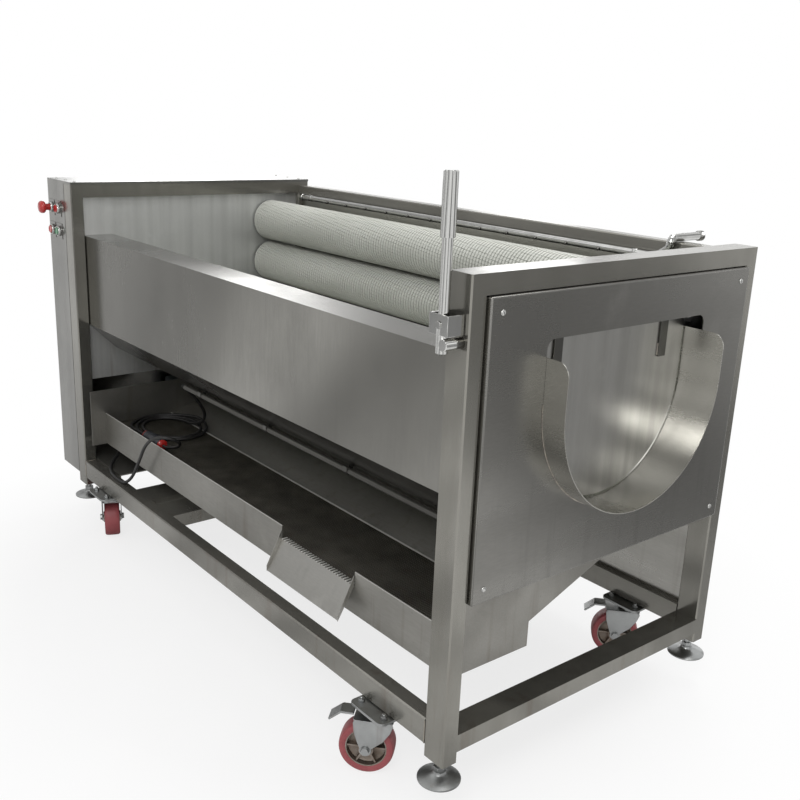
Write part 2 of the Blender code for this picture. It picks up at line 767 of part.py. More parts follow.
def make_outlet_cover():
    """Make the raised cover plate with returned edges and the U opening."""
    bm = bmesh.new()
    top = TOP_BAR_BOTTOM - COVER_TOP_GAP
    back = COVER_PROUD - COVER_RETURN
    box(bm, (back, INNER_NEAR_Y, WALL_BOTTOM), (COVER_PROUD, INNER_FAR_Y, top))
    made = mesh_object("outlet_plate", bm, "stainless")
    cavity = bmesh.new()
    box(cavity, (back - OVERRUN, INNER_NEAR_Y + SHEET, WALL_BOTTOM + SHEET),
        (COVER_PROUD - SHEET, INNER_FAR_Y - SHEET, top - SHEET))
    combine(made, "outlet_plate_cavity", cavity, "DIFFERENCE")
    opening = bmesh.new()
    outline = opening_outline(OPENING_RADIUS, OPENING_TOP, OPENING_CORNER, CORNER_ARC_STEPS)
    extrude(opening, outline, "X", back - OVERRUN, COVER_PROUD + OVERRUN)
    combine(made, "outlet_plate_opening", opening, "DIFFERENCE")
    notch = bmesh.new()
    rod(notch, "Y", (-SHAFT_SETBACK, SHAFT_Z), SHAFT_RADIUS + STEM_CLEARANCE, 0.0, INNER_NEAR_Y + OVERRUN,
        ROUND_SIDES)
    combine(made, "cover_shaft_notch", notch, "DIFFERENCE")
    screws = bmesh.new()
    for y in (INNER_NEAR_Y + SCREW_INSET, INNER_FAR_Y - SCREW_INSET):
        for z in (WALL_BOTTOM + SCREW_INSET, top - SCREW_INSET):
            profile = [(0, COVER_PROUD - SHEET / 2), (SCREW_RADIUS, COVER_PROUD - SHEET / 2),
                       (SCREW_RADIUS / 2, COVER_PROUD + SCREW_HEIGHT), (0, COVER_PROUD + SCREW_HEIGHT)]
            lathe(screws, profile, "X", (y, z), BEARING_SIDES)
    combine(made, "cover_screws", screws, "UNION")


def add_bearings(wall, name, start, end):
    """Fuse the rollers' flanged bearings to an end wall and bore them for the shafts."""
    flanges, holes = bmesh.new(), bmesh.new()
    turn = math.pi / BEARING_SIDES
    for place in roller_places():
        rod(flanges, "X", place, BEARING_RADIUS, start, end, BEARING_SIDES, turn)
        rod(holes, "X", place, STUB_BORE, start - OVERRUN, end + OVERRUN, BEARING_SIDES, turn)
    combine(wall, name + "_bearings", flanges, "UNION")
    combine(wall, name + "_holes", holes, "DIFFERENCE")


def make_end_walls():
    """Make the trough's wall at each end with the rollers' bearings, and the outlet's opening."""
    wall_top = TOP_BAR_BOTTOM - GAP
    bm = bmesh.new()
    box(bm, (OUTLET_WALL_X - SHEET, INNER_NEAR_Y, WALL_BOTTOM), (OUTLET_WALL_X, INNER_FAR_Y, wall_top))
    wall = mesh_object("outlet_end_wall", bm, "stainless")
    opening = bmesh.new()
    outline = opening_outline(LIP_INNER, LIP_ARM_TOP, OPENING_CORNER, CORNER_ARC_STEPS)
    extrude(opening, outline, "X", OUTLET_WALL_X - SHEET - OVERRUN, OUTLET_WALL_X + OVERRUN)
    combine(wall, "outlet_wall_opening", opening, "DIFFERENCE")
    add_bearings(wall, "outlet_wall", OUTLET_WALL_X - SHEET / 2, OUTLET_WALL_X + BEARING_DEPTH)
    add_bush(wall)
    bm = bmesh.new()
    box(bm, (DRIVE_WALL_X, INNER_NEAR_Y, DRIVE_WALL_BOTTOM), (DRIVE_WALL_X + SHEET, INNER_FAR_Y, wall_top))
    wall = mesh_object("drive_end_wall", bm, "brushed_stainless")
    add_bearings(wall, "drive_wall", DRIVE_WALL_X - BEARING_DEPTH, DRIVE_WALL_X + SHEET / 2)


def add_bush(wall):
    """Fuse the gate shaft's far bush to the outlet wall."""
    end = SHAFT_FAR_Y - BUSH_END_INSET
    start = end - BUSH_WIDTH
    block, hole = bmesh.new(), bmesh.new()
    box(block, (OUTLET_WALL_X - SHEET / 2, start, SHAFT_Z - BUSH_HALF_HEIGHT),
        (-SHAFT_SETBACK + BUSH_HALF_HEIGHT, end, SHAFT_Z + BUSH_HALF_HEIGHT))
    rod(hole, "Y", (-SHAFT_SETBACK, SHAFT_Z), SHAFT_RADIUS + STEM_CLEARANCE, start - OVERRUN, end + OVERRUN,
        ROUND_SIDES)
    combine(wall, "gate_bush", block, "UNION")
    combine(wall, "gate_bush_bore", hole, "DIFFERENCE")


def make_near_panel():
    """Make the near side panel with its top flange, hem and bent-in splash guard."""
    path = [(FLANGE_REACH, FLANGE_TOP - FLANGE_HEM), (FLANGE_REACH, FLANGE_TOP), (INNER_NEAR_Y, FLANGE_TOP),
            (INNER_NEAR_Y, PANEL_GUARD_TOP), (GUARD_REACH, GUARD_LOW)]
    bm = bmesh.new()
    start = DRIVE_WALL_X + SHEET + GAP
    extrude(bm, bent_sheet(path, SHEET), "X", start, OUTLET_WALL_X - SHEET - GAP)
    mesh_object("near_panel", bm, "stainless")


def make_back_panel():
    """Make the back panel between the far posts, the lower rail and the top rail."""
    bm = bmesh.new()
    inner = FRAME_WIDTH - BACK_PANEL_INSET - SHEET
    box(bm, (SPAN_START, inner, RAIL_TOP + GAP), (SPAN_END, inner + SHEET, TOP_RAIL_BOTTOM - GAP))
    mesh_object("back_panel", bm, "stainless")


def make_discharge_lip():
    """Make the bent U lip that carries the produce out through the opening."""
    outer = arc((MIDDLE_Y, OPENING_CENTRE_Z), LIP_OUTER, math.pi, math.tau, ARC_STEPS)
    inner = arc((MIDDLE_Y, OPENING_CENTRE_Z), LIP_INNER, math.tau, math.pi, ARC_STEPS)
    outline = [(MIDDLE_Y - LIP_OUTER, LIP_ARM_TOP)] + outer + [(MIDDLE_Y + LIP_OUTER, LIP_ARM_TOP)]
    outline += [(MIDDLE_Y + LIP_INNER, LIP_ARM_TOP)] + inner + [(MIDDLE_Y - LIP_INNER, LIP_ARM_TOP)]
    bm = bmesh.new()
    extrude(bm, outline, "X", OUTLET_WALL_X + GAP, LIP_PROUD)
    lip = mesh_object("discharge_lip", bm, "stainless")
    corner = bmesh.new()
    centre = (LIP_PROUD - LIP_CORNER, LIP_ARM_TOP - LIP_CORNER)
    outside = LIP_PROUD + OVERRUN
    above = LIP_ARM_TOP + OVERRUN
    outline = arc(centre, LIP_CORNER, 0, math.pi / 2, CORNER_ARC_STEPS)
    outline += [(centre[0], above), (outside, above), (outside, centre[1])]
    extrude(corner, outline, "Y", MIDDLE_Y - OPENING_RADIUS - OVERRUN, MIDDLE_Y + OPENING_RADIUS + OVERRUN)
    combine(lip, "lip_corner", corner, "DIFFERENCE")


def caster_places():
    """Return each caster's (x, y), its turn about Z and whether it has a brake."""
    places = []
    for setback, turn, braked in zip(CASTER_SETBACKS, (CASTER_OUTLET_TURN, CASTER_DRIVE_TURN), (True, False)):
        for y in (CASTER_NEAR_Y, CASTER_FAR_Y):
            places.append(((-setback, y), turn, braked))
    return places


def gate_outline():
    """Return the flap's U outline in (y, z)."""
    radius = LIP_INNER - GATE_CLEARANCE
    centre = (MIDDLE_Y, OPENING_CENTRE_Z)
    points = arc(centre, radius, math.pi, math.tau, ARC_STEPS)
    return points + [(MIDDLE_Y + radius, GATE_TOP), (MIDDLE_Y - radius, GATE_TOP)]


def gate_axis():
    """Return a point on the gate's hinge axis."""
    return (-SHAFT_SETBACK, MIDDLE_Y, SHAFT_Z)


def make_gate():
    """Make the gate flap, its cross shaft with lugs, and the hand lever."""
    bm = bmesh.new()
    extrude(bm, gate_outline(), "X", -GATE_SETBACK - GATE_SHEET, -GATE_SETBACK)
    mesh_object("gate_flap", bm, "brushed_stainless", gate_axis())
    make_gate_shaft()
    make_gate_lever()


def make_gate_shaft():
    """Make the cross shaft with its two flat lugs."""
    bm = bmesh.new()
    centre = (-SHAFT_SETBACK, SHAFT_Z)
    rod(bm, "Y", centre, SHAFT_RADIUS, SHAFT_NEAR_Y, SHAFT_FAR_Y, ROUND_SIDES)
    shaft = mesh_object("gate_shaft", bm, "stainless", gate_axis(), smooth=True)
    lugs = bmesh.new()
    back = -GATE_SETBACK + GAP
    low, high = SHAFT_Z - LUG_HEAD, SHAFT_Z + LUG_HEAD
    outline = [(back, LUG_LOW), (back + LUG_THICKNESS, LUG_LOW), (back + LUG_THICKNESS, low),
               (-SHAFT_SETBACK, low), (-SHAFT_SETBACK, high), (back, high)]
    for y in (MIDDLE_Y - LUG_SPREAD, MIDDLE_Y + LUG_SPREAD):
        extrude(lugs, outline, "Y", y - LUG_WIDTH / 2, y + LUG_WIDTH / 2)
    combine(shaft, "gate_lugs", lugs, "UNION")


def make_gate_lever():
    """Make the hand lever: socket, rod, grip sleeve, the hub at the shaft's end and the yoke strap."""
    x, y = -LEVER_SETBACK, -LEVER_OFFSET
    bm = bmesh.new()
    profile = [(0, SOCKET_LOW), (SOCKET_RADIUS, SOCKET_LOW), (SOCKET_RADIUS, SOCKET_TOP),
               (LEVER_RADIUS, SOCKET_TOP), (LEVER_RADIUS, GRIP_LOW), (GRIP_RADIUS, GRIP_LOW),
               (GRIP_RADIUS, GRIP_TOP), (0, GRIP_TOP)]
    lathe(bm, profile, "Z", (x, y), ROUND_SIDES)
    lever = mesh_object("gate_lever", bm, "stainless", gate_axis(), smooth=True)
    hub = bmesh.new()
    rod(hub, "Y", (-SHAFT_SETBACK, SHAFT_Z), HUB_RADIUS, -HUB_OUT, SHAFT_NEAR_Y - GAP, ROUND_SIDES)
    combine(lever, "lever_hub", hub, "UNION")
    back, front = x - YOKE_BACK_REACH, x + YOKE_FRONT_REACH
    outside = y - LEVER_RADIUS - YOKE_STRAP / 3
    path = [(back, -YOKE_CLEARANCE), (back, outside), (front, outside), (front, -YOKE_CLEARANCE)]
    yoke = bmesh.new()
    extrude(yoke, bent_sheet(path, YOKE_STRAP), "Z", YOKE_LOW, YOKE_TOP)
    combine(lever, "lever_yoke", yoke, "UNION")


def shaft_profile(last_sprocket):
    """Return the roller's turned profile, the starts of its bristle bands and a face's width."""
    side = 2 * CORE_RADIUS * math.sin(math.pi / CORE_SIDES)
    start, end = -BRUSH_DRIVE_END, -BRUSH_OUTLET_END
    pitch = (end - start) / STRAND_RINGS
    shaft_end = -last_sprocket - SPROCKET_WIDTH / 2
    profile = [(0, shaft_end), (STUB_RADIUS, shaft_end), (STUB_RADIUS, start)]
    profile.append((CORE_RADIUS, start))
    bands = []
    for ring in range(STRAND_RINGS):
        middle = start + pitch * (ring + 0.5)
        bands.append(len(profile))
        profile += [(CORE_RADIUS, middle - side / 2), (CORE_RADIUS, middle + side / 2)]
    profile += [(CORE_RADIUS, end), (STUB_RADIUS, end), (STUB_RADIUS, -STUB_END), (0, -STUB_END)]
    return profile, bands, side


def add_strands(bm, rings, bands, side):
    """Raise a pointed four-sided bristle on every other face of each band."""
    chosen = []
    for count, band in enumerate(bands):
        for index in range(count % 2, CORE_SIDES, 2):
            after = (index + 1) % CORE_SIDES
            corners = {rings[band][index], rings[band][after], rings[band + 1][index], rings[band + 1][after]}
            chosen += [face for face in rings[band][index].link_faces if set(face.verts) == corners]
    bmesh.ops.recalc_face_normals(bm, faces=bm.faces)
    bmesh.ops.inset_individual(bm, faces=chosen, thickness=(side - STRAND_WIDTH) / 2)
    bmesh.ops.poke(bm, faces=chosen, offset=STRAND_LENGTH)


def sprocket_outline(centre):
    """Return a toothed outline about the centre."""
    points = []
    for index in range(SPROCKET_TEETH * 2):
        angle = math.pi * index / SPROCKET_TEETH
        radius = SPROCKET_ROOT if index % 2 else SPROCKET_TIP
        points.append((centre[0] + radius * math.cos(angle), centre[1] + radius * math.sin(angle)))
    return points


def make_rollers():
    """Make the brush rollers, each with its core, bristles, shaft ends and sprocket."""
    for index, place in enumerate(roller_places()):
        driven = index == bottom_roller()
        profile, bands, side = shaft_profile(SECOND_SPROCKET_SETBACK if driven else SPROCKET_SETBACK)
        bm = bmesh.new()
        rings = lathe(bm, profile, "X", place, CORE_SIDES)
        add_strands(bm, rings, bands, side)
        middle = -(BRUSH_DRIVE_END + BRUSH_OUTLET_END) / 2
        roller = mesh_object(f"brush_roller_{index + 1}", bm, "brush_fibre", (middle, *place))
        sprockets = bmesh.new()
        for setback in (SPROCKET_SETBACK, SECOND_SPROCKET_SETBACK)[:2 if driven else 1]:
            extrude(sprockets, sprocket_outline(place), "X", -setback - SPROCKET_WIDTH, -setback)
        combine(roller, f"sprockets_{index + 1}", sprockets, "UNION")


def convex_loop(points):
    """Return the convex outline round a set of points."""
    ordered = sorted(set(points))
    halves = []
    for run in (ordered, list(reversed(ordered))):
        chain = []
        for point in run:
            while len(chain) > 1 and turn_of(chain[-2], chain[-1], point) <= 0:
                chain.pop()
            chain.append(point)
        halves += chain[:-1]
    return halves


def turn_of(first, second, third):
    """Return how far three points turn to the left."""
    return ((second[0] - first[0]) * (third[1] - first[1])
            - (second[1] - first[1]) * (third[0] - first[0]))


def chain_loop(bm, places, start):
    """Add a closed chain band round the sprockets at the given places."""
    centres = {}
    for place in places:
        for point in circle(place, CHAIN_INNER, CHAIN_STEPS, math.pi / CHAIN_STEPS):
            centres[point] = place
    inner = convex_loop(list(centres))
    stretch = 1 + CHAIN_THICKNESS / CHAIN_INNER
    outer = [(centres[point][0] + (point[0] - centres[point][0]) * stretch,
              centres[point][1] + (point[1] - centres[point][1]) * stretch) for point in inner]
    extrude_ring(bm, outer, inner, "X", start, start + SPROCKET_WIDTH)


def make_chains():
    """Make the chain round the rollers' sprockets and the motor's chain."""
    places = roller_places()
    bm = bmesh.new()
    chain_loop(bm, places, -SPROCKET_SETBACK - SPROCKET_WIDTH)
    mesh_object("roller_chain", bm, "dark_steel")
    bm = bmesh.new()
    driven = places[bottom_roller()]
    chain_loop(bm, [driven, (MIDDLE_Y, DRIVE_AXIS_Z)], -SECOND_SPROCKET_SETBACK - SPROCKET_WIDTH)
    mesh_object("motor_chain", bm, "dark_steel")


def make_drive():
    """Make the motor shelf, the gearbox, the motor and the drive sprocket."""
    bm = bmesh.new()
    path = [(INNER_NEAR_Y, RAIL_BOTTOM + CROSSBAR_HEIGHT + GAP), (INNER_NEAR_Y, SHELF_TOP),
            (INNER_FAR_Y, SHELF_TOP), (INNER_FAR_Y, RAIL_BOTTOM + CROSSBAR_HEIGHT + GAP)]
    extrude(bm, bent_sheet(list(reversed(path)), SHELF_THICKNESS), "X", -SHELF_START, -SHELF_END)
    mesh_object("motor_shelf", bm, "stainless")
    bm = bmesh.new()
    box(bm, (-GEARBOX_START, MIDDLE_Y - GEARBOX_HALF_WIDTH, SHELF_TOP + GAP),
        (-GEARBOX_END, MIDDLE_Y + GEARBOX_HALF_WIDTH, GEARBOX_TOP))
    gearbox = mesh_object("gearbox", bm, "grey_paint")
    bevel = gearbox.modifiers.new("edges", "BEVEL")
    bevel.width = TUBE_CORNER
    bevel.segments = 1
    make_motor()
    bm = bmesh.new()
    place = (MIDDLE_Y, DRIVE_AXIS_Z)
    start = -SECOND_SPROCKET_SETBACK - SPROCKET_WIDTH
    extrude(bm, sprocket_outline(place), "X", start, start + SPROCKET_WIDTH)
    sprocket = mesh_object("drive_sprocket", bm, "dark_steel", (start, *place))
    shaft = bmesh.new()
    rod(shaft, "X", place, STUB_RADIUS, -GEARBOX_END + GAP, start + SPROCKET_WIDTH / 2, CORE_SIDES)
    combine(sprocket, "gearbox_shaft", shaft, "UNION")


def make_motor():
    """Make the motor and its foot block."""
    bm = bmesh.new()
    start = MIDDLE_Y + GEARBOX_HALF_WIDTH + GAP
    rod(bm, "Y", (-MOTOR_SETBACK, MOTOR_Z), MOTOR_RADIUS, start, start + MOTOR_LENGTH, MOTOR_SIDES)
    motor = mesh_object("motor", bm, "grey_paint", smooth=True)
    middle = start + MOTOR_LENGTH / 2
    foot = bmesh.new()
    box(foot, (-MOTOR_SETBACK - MOTOR_FOOT_HALF_WIDTH, middle - MOTOR_FOOT_LENGTH / 2, SHELF_TOP + GAP),
        (-MOTOR_SETBACK + MOTOR_FOOT_HALF_WIDTH, middle + MOTOR_FOOT_LENGTH / 2, MOTOR_Z - MOTOR_RADIUS / 2))
    combine(motor, "motor_foot", foot, "UNION")


def button_places():
    """Return the (x, z) places of the controls, upper row first."""
    return [(-setback, row) for row in BUTTON_ROWS for setback in BUTTON_SETBACKS]


def make_housing():
    """Make the drive housing with its top cover and the holes of the controls."""
    bm = bmesh.new()
    outer = rectangle(0.0, HOUSING_BOTTOM, FRAME_WIDTH, HOUSING_TOP)
    inner = rectangle(SHEET, HOUSING_BOTTOM + SHEET, FRAME_WIDTH - SHEET, HOUSING_TOP - SHEET)
    extrude_ring(bm, outer, inner, "X", -HOUSING_START, DRIVE_X - GAP)
    shell = mesh_object("housing_shell", bm, "stainless")
    cover = bmesh.new()
    back = DRIVE_X - SHEET
    low = HOUSING_TOP - SHEET
    path = [(back, HOUSING_TOP), (DRIVE_INNER_X, HOUSING_TOP), (DRIVE_INNER_X, FRAME_TOP + GAP)]
    extrude(cover, bent_sheet(list(reversed(path)), SHEET), "Y", 0.0, FRAME_WIDTH)
    combine(shell, "housing_cover", cover, "UNION")
    rims = bmesh.new()
    for front in (0.0, FRAME_WIDTH - SHEET):
        box(rims, (back, front, FRAME_TOP + GAP), (DRIVE_INNER_X, front + SHEET, low + SHEET / 2))
    combine(shell, "housing_rims", rims, "UNION")
    add_legend_plates(shell)
    make_housing_door()


def add_legend_plates(shell):
    """Fuse the legend plates and bezels to the housing's near side and bore them for the stems."""
    plates, bezels, holes = bmesh.new(), bmesh.new(), bmesh.new()
    for x, z in button_places():
        box(plates, (x - LEGEND_WIDTH / 2, -LEGEND_THICKNESS, z - LEGEND_HEIGHT / 2),
            (x + LEGEND_WIDTH / 2, SHEET / 2, z + LEGEND_HEIGHT / 2))
        rod(holes, "Y", (x, z), BUTTON_HOLE_RADIUS, -BEZEL_DEPTH - OVERRUN, SHEET + OVERRUN, ROUND_SIDES)
    for place in button_places()[1:]:
        extrude_ring(bezels, circle(place, BEZEL_RADIUS, ROUND_SIDES), circle(place, BEZEL_BORE, ROUND_SIDES),
                     "Y", -LEGEND_THICKNESS - BEZEL_DEPTH, -LEGEND_THICKNESS / 2)
    combine(shell, "legend_plates", plates, "UNION")
    combine(shell, "button_bezels", bezels, "UNION")
    combine(shell, "button_holes", holes, "DIFFERENCE")


def make_housing_door():
    """Make the access door that closes the housing's end."""
    bm = bmesh.new()
    face = -HOUSING_START - GAP
    box(bm, (face - SHEET, DOOR_MARGIN, HOUSING_BOTTOM + DOOR_MARGIN),
        (face, FRAME_WIDTH - DOOR_MARGIN, HOUSING_TOP - DOOR_MARGIN))
    mesh_object("housing_door", bm, "stainless")


def make_controls():
    """Make the emergency stop and the three push buttons."""
    names = ("e_stop", "red_button", "stop_button", "green_button")
    finishes = ("red_plastic", "red_plastic", "red_plastic", "green_plastic")
    for name, finish, place in zip(names, finishes, button_places()):
        make_button(name, finish, place)


def make_button(name, finish, place):
    """Make one push button whose stem runs through the housing's sheet."""
    bm = bmesh.new()
    if name == "e_stop":
        profile = [(0, -MUSHROOM_FRONT), (MUSHROOM_RADIUS / 2, -MUSHROOM_FRONT + SCREW_HEIGHT / 2),
                   (MUSHROOM_RADIUS, -MUSHROOM_FRONT + MUSHROOM_RADIUS / 2), (MUSHROOM_RADIUS, -MUSHROOM_BACK)]
        neck_start = -MUSHROOM_BACK
    else:
        profile = [(0, -CAP_FRONT), (CAP_RADIUS, -CAP_FRONT), (CAP_RADIUS, -CAP_BACK)]
        neck_start = -CAP_BACK
    profile += [(BUTTON_STEM_RADIUS, neck_start), (BUTTON_STEM_RADIUS, BUTTON_STEM_DEPTH), (0, BUTTON_STEM_DEPTH)]
    lathe(bm, profile, "Y", place, ROUND_SIDES)
    mesh_object(name, bm, finish, (place[0], 0.0, place[1]), smooth=True)


def make_tray():
    """Make the catch tray: near wall, bottom, step, sloped plate, upstand and end plates."""
    path = [(TRAY_NEAR_Y, TRAY_RIM), (TRAY_NEAR_Y, TRAY_BOTTOM), (TRAY_STEP_Y, TRAY_BOTTOM),
            (TRAY_STEP_Y, TRAY_STEP_Z), (TRAY_STEP_Y + TRAY_LEDGE, TRAY_STEP_Z), (TRAY_FAR_Y, TRAY_FAR_Z),
            (TRAY_FAR_Y, TRAY_FAR_Z + TRAY_UPSTAND)]
    bm = bmesh.new()
    start, end = -TRAY_DRIVE_END, SPAN_END
    extrude(bm, bent_sheet(path, SHEET), "X", start + SHEET, end - SHEET)
    tray = mesh_object("catch_tray", bm, "stainless")
    notch = bmesh.new()
    box(notch, (-NOTCH_DRIVE_SIDE, TRAY_NEAR_Y - OVERRUN, NOTCH_BOTTOM),
        (-NOTCH_OUTLET_SIDE, TRAY_NEAR_Y + OVERRUN, TRAY_RIM + OVERRUN))
    combine(tray, "tray_notch", notch, "DIFFERENCE")
    ends = bmesh.new()
    under = SHEET * 2
    outline = [(TRAY_EAR_Y, TRAY_BOTTOM), (TRAY_STEP_Y + under, TRAY_BOTTOM), (TRAY_STEP_Y + under, TRAY_STEP_Z - under),
               (TRAY_FAR_Y, TRAY_FAR_Z - under), (TRAY_FAR_Y, TRAY_FAR_Z + TRAY_UPSTAND),
               (TRAY_END_BEND_Y, TRAY_END_TOP), (TRAY_EAR_Y, TRAY_END_TOP)]
    for place in (start, end - SHEET):
        extrude(ends, outline, "X", place, place + SHEET)
    combine(tray, "tray_ends", ends, "UNION")


def make_screen():
    """Make the screen floor of the tray as a flat net of square gaps."""
    start, end = -TRAY_DRIVE_END + SHEET + GAP, SPAN_END - SHEET - GAP
    near, far = TRAY_NEAR_Y + SHEET + GAP, TRAY_STEP_Y + SCREEN_LAP
    xs = net_lines(start, end, SCREEN_COLUMNS)
    ys = net_lines(near, far, SCREEN_ROWS)
    bm = bmesh.new()
    grid = [[bm.verts.new((x, y, SCREEN_Z)) for y in ys] for x in xs]
    for column in range(len(xs) - 1):
        for row in range(len(ys) - 1):
            if column % 2 and row % 2:
                continue
            bm.faces.new((grid[column][row], grid[column + 1][row], grid[column + 1][row + 1],
                          grid[column][row + 1]))
    faces = list(bm.faces)
    raised = bmesh.ops.extrude_face_region(bm, geom=faces, use_keep_orig=True)
    verts = [item for item in raised["geom"] if isinstance(item, bmesh.types.BMVert)]
    bmesh.ops.translate(bm, verts=verts, vec=(0, 0, SCREEN_THICKNESS))
    mesh_object("tray_screen", bm, "dark_steel")


def net_lines(start, end, count):
    """Return the edges of the bars of a net with the given number of gaps."""
    pitch = (end - start - SCREEN_BAR) / count
    lines = []
    for index in range(count + 1):
        lines += [start + pitch * index, start + pitch * index + SCREEN_BAR]
    return lines


def make_chute():
    """Make the discharge chute below the notch: a sloped plate between two cheeks."""
    bm = bmesh.new()
    top = (CHUTE_TOP_Y, NOTCH_BOTTOM)
    low = (CHUTE_LOW_Y, CHUTE_LOW_Z)
    start, end = -NOTCH_DRIVE_SIDE, -NOTCH_OUTLET_SIDE
    extrude(bm, bent_sheet([top, low], SHEET), "X", start + SHEET / 2, end - SHEET / 2)
    chute = mesh_object("discharge_chute", bm, "stainless")
    cheeks = bmesh.new()
    cheek = [(top[0], top[1] - SHEET), (low[0], low[1] - SHEET), (low[0], low[1] + CHUTE_CHEEK / 2),
             (top[0], top[1] + CHUTE_CHEEK)]
    for place in (start, end - SHEET):
        extrude(cheeks, cheek, "X", place, place + SHEET)
    combine(chute, "chute_cheeks", cheeks, "UNION")


def make_spray_pipe():
    """Make the spray pipe with its brackets and the water inlet that crosses over the far rail."""
    bm = bmesh.new()
    corner = INLET_BEND
    route = [(-SPRAY_DRIVE_END, SPRAY_Y, SPRAY_Z)]
    quarter = math.pi / 2
    for x, z in arc((-INLET_SETBACK - corner, SPRAY_Z + corner), corner, -quarter, 0, CORNER_ARC_STEPS):
        route.append((x, SPRAY_Y, z))
    for y, z in arc((SPRAY_Y + corner, INLET_Z - corner), corner, quarter * 2, quarter, CORNER_ARC_STEPS):
        route.append((-INLET_SETBACK, y, z))
    route.append((-INLET_SETBACK, INLET_END_Y - COLLAR_LENGTH / 2, INLET_Z))
    sweep(bm, route, SPRAY_RADIUS, FOOT_SIDES)
    pipe = mesh_object("spray_pipe", bm, "stainless", smooth=True)
    fittings = bmesh.new()
    rod(fittings, "Y", (-INLET_SETBACK, INLET_Z), COLLAR_RADIUS, INLET_END_Y - COLLAR_LENGTH, INLET_END_Y,
        FOOT_SIDES)
    low = SPRAY_Z + SPRAY_RADIUS - BRACKET_SHEET
    for share in BRACKET_SHARES:
        x = -SPRAY_DRIVE_END + (SPRAY_DRIVE_END - INLET_SETBACK - corner) * share
        box(fittings, (x - BRACKET_WIDTH / 2, SPRAY_Y, low),
            (x + BRACKET_WIDTH / 2, FAR_INNER_Y - GAP, low + BRACKET_SHEET))
    combine(pipe, "spray_fittings", fittings, "UNION")


def make_conduit():
    """Make the conduit and the clips that hold it under the splash guard."""
    bm = bmesh.new()
    centre = (CONDUIT_Y, CONDUIT_Z)
    start, end = -CONDUIT_DRIVE_END, OUTLET_WALL_X - SHEET - GAP
    rod(bm, "X", centre, CONDUIT_RADIUS, start, end, FOOT_SIDES)
    conduit = mesh_object("conduit", bm, "stainless", smooth=True)
    clips, tabs = bmesh.new(), bmesh.new()
    outer = CONDUIT_RADIUS + CLIP_THICKNESS
    for share in CLIP_SHARES:
        x = start + (end - start) * share
        rod(clips, "X", centre, outer, x - CLIP_WIDTH / 2, x + CLIP_WIDTH / 2, FOOT_SIDES)
        box(tabs, (x - CLIP_WIDTH / 3, CONDUIT_Y, CONDUIT_Z), (x + CLIP_WIDTH / 3, GUARD_REACH, GUARD_LOW - SHEET))
    combine(conduit, "conduit_clips", clips, "UNION")
    combine(conduit, "conduit_tabs", tabs, "UNION")


def make_caster_plate(name, place):
    """Make a caster's adapter plate under the rail, with its top plate and bolt heads."""
    x, y = place
    bm = bmesh.new()
    outline = rounded_rectangle(x - ADAPTER_LENGTH / 2, y - ADAPTER_WIDTH / 2, x + ADAPTER_LENGTH / 2,
                                y + ADAPTER_WIDTH / 2, ADAPTER_CORNER, CORNER_ARC_STEPS)
    extrude(bm, outline, "Z", ADAPTER_BOTTOM, ADAPTER_BOTTOM + ADAPTER_THICKNESS)
    plate = mesh_object(name, bm, "zinc")
    top, bolts = bmesh.new(), bmesh.new()
    middle = ADAPTER_BOTTOM + ADAPTER_THICKNESS / 2
    box(top, (x - TOP_PLATE_LENGTH / 2, y - TOP_PLATE_WIDTH / 2, TOP_PLATE_BOTTOM),
        (x + TOP_PLATE_LENGTH / 2, y + TOP_PLATE_WIDTH / 2, middle))
    for side_x in (x - BOLT_X, x + BOLT_X):
        for side_y in (y - BOLT_Y, y + BOLT_Y):
            rod(bolts, "Z", (side_x, side_y), BOLT_RADIUS, TOP_PLATE_BOTTOM - BOLT_HEAD, middle, 6)
    combine(plate, name + "_top", top, "UNION")
    combine(plate, name + "_bolts", bolts, "UNION")


def make_fork(name, place, turn):
    """Make a caster's fork with its swivel race, axle and axle heads, trailing along -X before its turn."""
    bm = bmesh.new()
    outer, inner = FORK_INNER_WIDTH / 2 + FORK_SHEET, FORK_INNER_WIDTH / 2
    low = WHEEL_RADIUS - FORK_LEG_BELOW_AXLE
    under = FORK_CROWN_TOP - FORK_SHEET
    outline = [(-outer, low), (-inner, low), (-inner, under), (inner, under), (inner, low), (outer, low),
               (outer, FORK_CROWN_TOP), (-outer, FORK_CROWN_TOP)]
    extrude(bm, outline, "X", -FORK_BACK, FORK_FRONT)
    for vert in bm.verts:
        if vert.co.z < WHEEL_RADIUS:
            side = 1 if vert.co.x > -WHEEL_TRAIL else -1
            vert.co.x = -WHEEL_TRAIL + side * FORK_LEG_HALF
    fork = mesh_object(name, bm, "zinc")
    place_caster_piece(fork, place, turn, (0.0, 0.0))
    race, axle, heads = bmesh.new(), bmesh.new(), bmesh.new()
    rod(race, "Z", (0.0, 0.0), RACE_RADIUS, FORK_CROWN_TOP - FORK_SHEET / 2, TOP_PLATE_BOTTOM - GAP, FOOT_SIDES)
    centre = (-WHEEL_TRAIL, WHEEL_RADIUS)
    rod(axle, "Y", centre, AXLE_RADIUS, -outer + GAP, outer - GAP, FOOT_SIDES)
    for start in (-outer - AXLE_HEAD, outer - FORK_SHEET / 2):
        rod(heads, "Y", centre, AXLE_HEAD_RADIUS, start, start + AXLE_HEAD + FORK_SHEET / 2, 6)
    for part, shape in (("_race", race), ("_axle", axle), ("_heads", heads)):
        combine(fork, name + part, shape, "UNION").parent = fork


def place_caster_piece(piece, place, turn, local):
    """Stand a caster's piece, drawn about its local (x, z) point, at the caster's place and turn."""
    along = Vector((math.cos(turn), math.sin(turn), 0.0)) * local[0]
    piece.location = Vector((place[0], place[1], local[1])) + along
    piece.rotation_euler = (0.0, 0.0, turn)


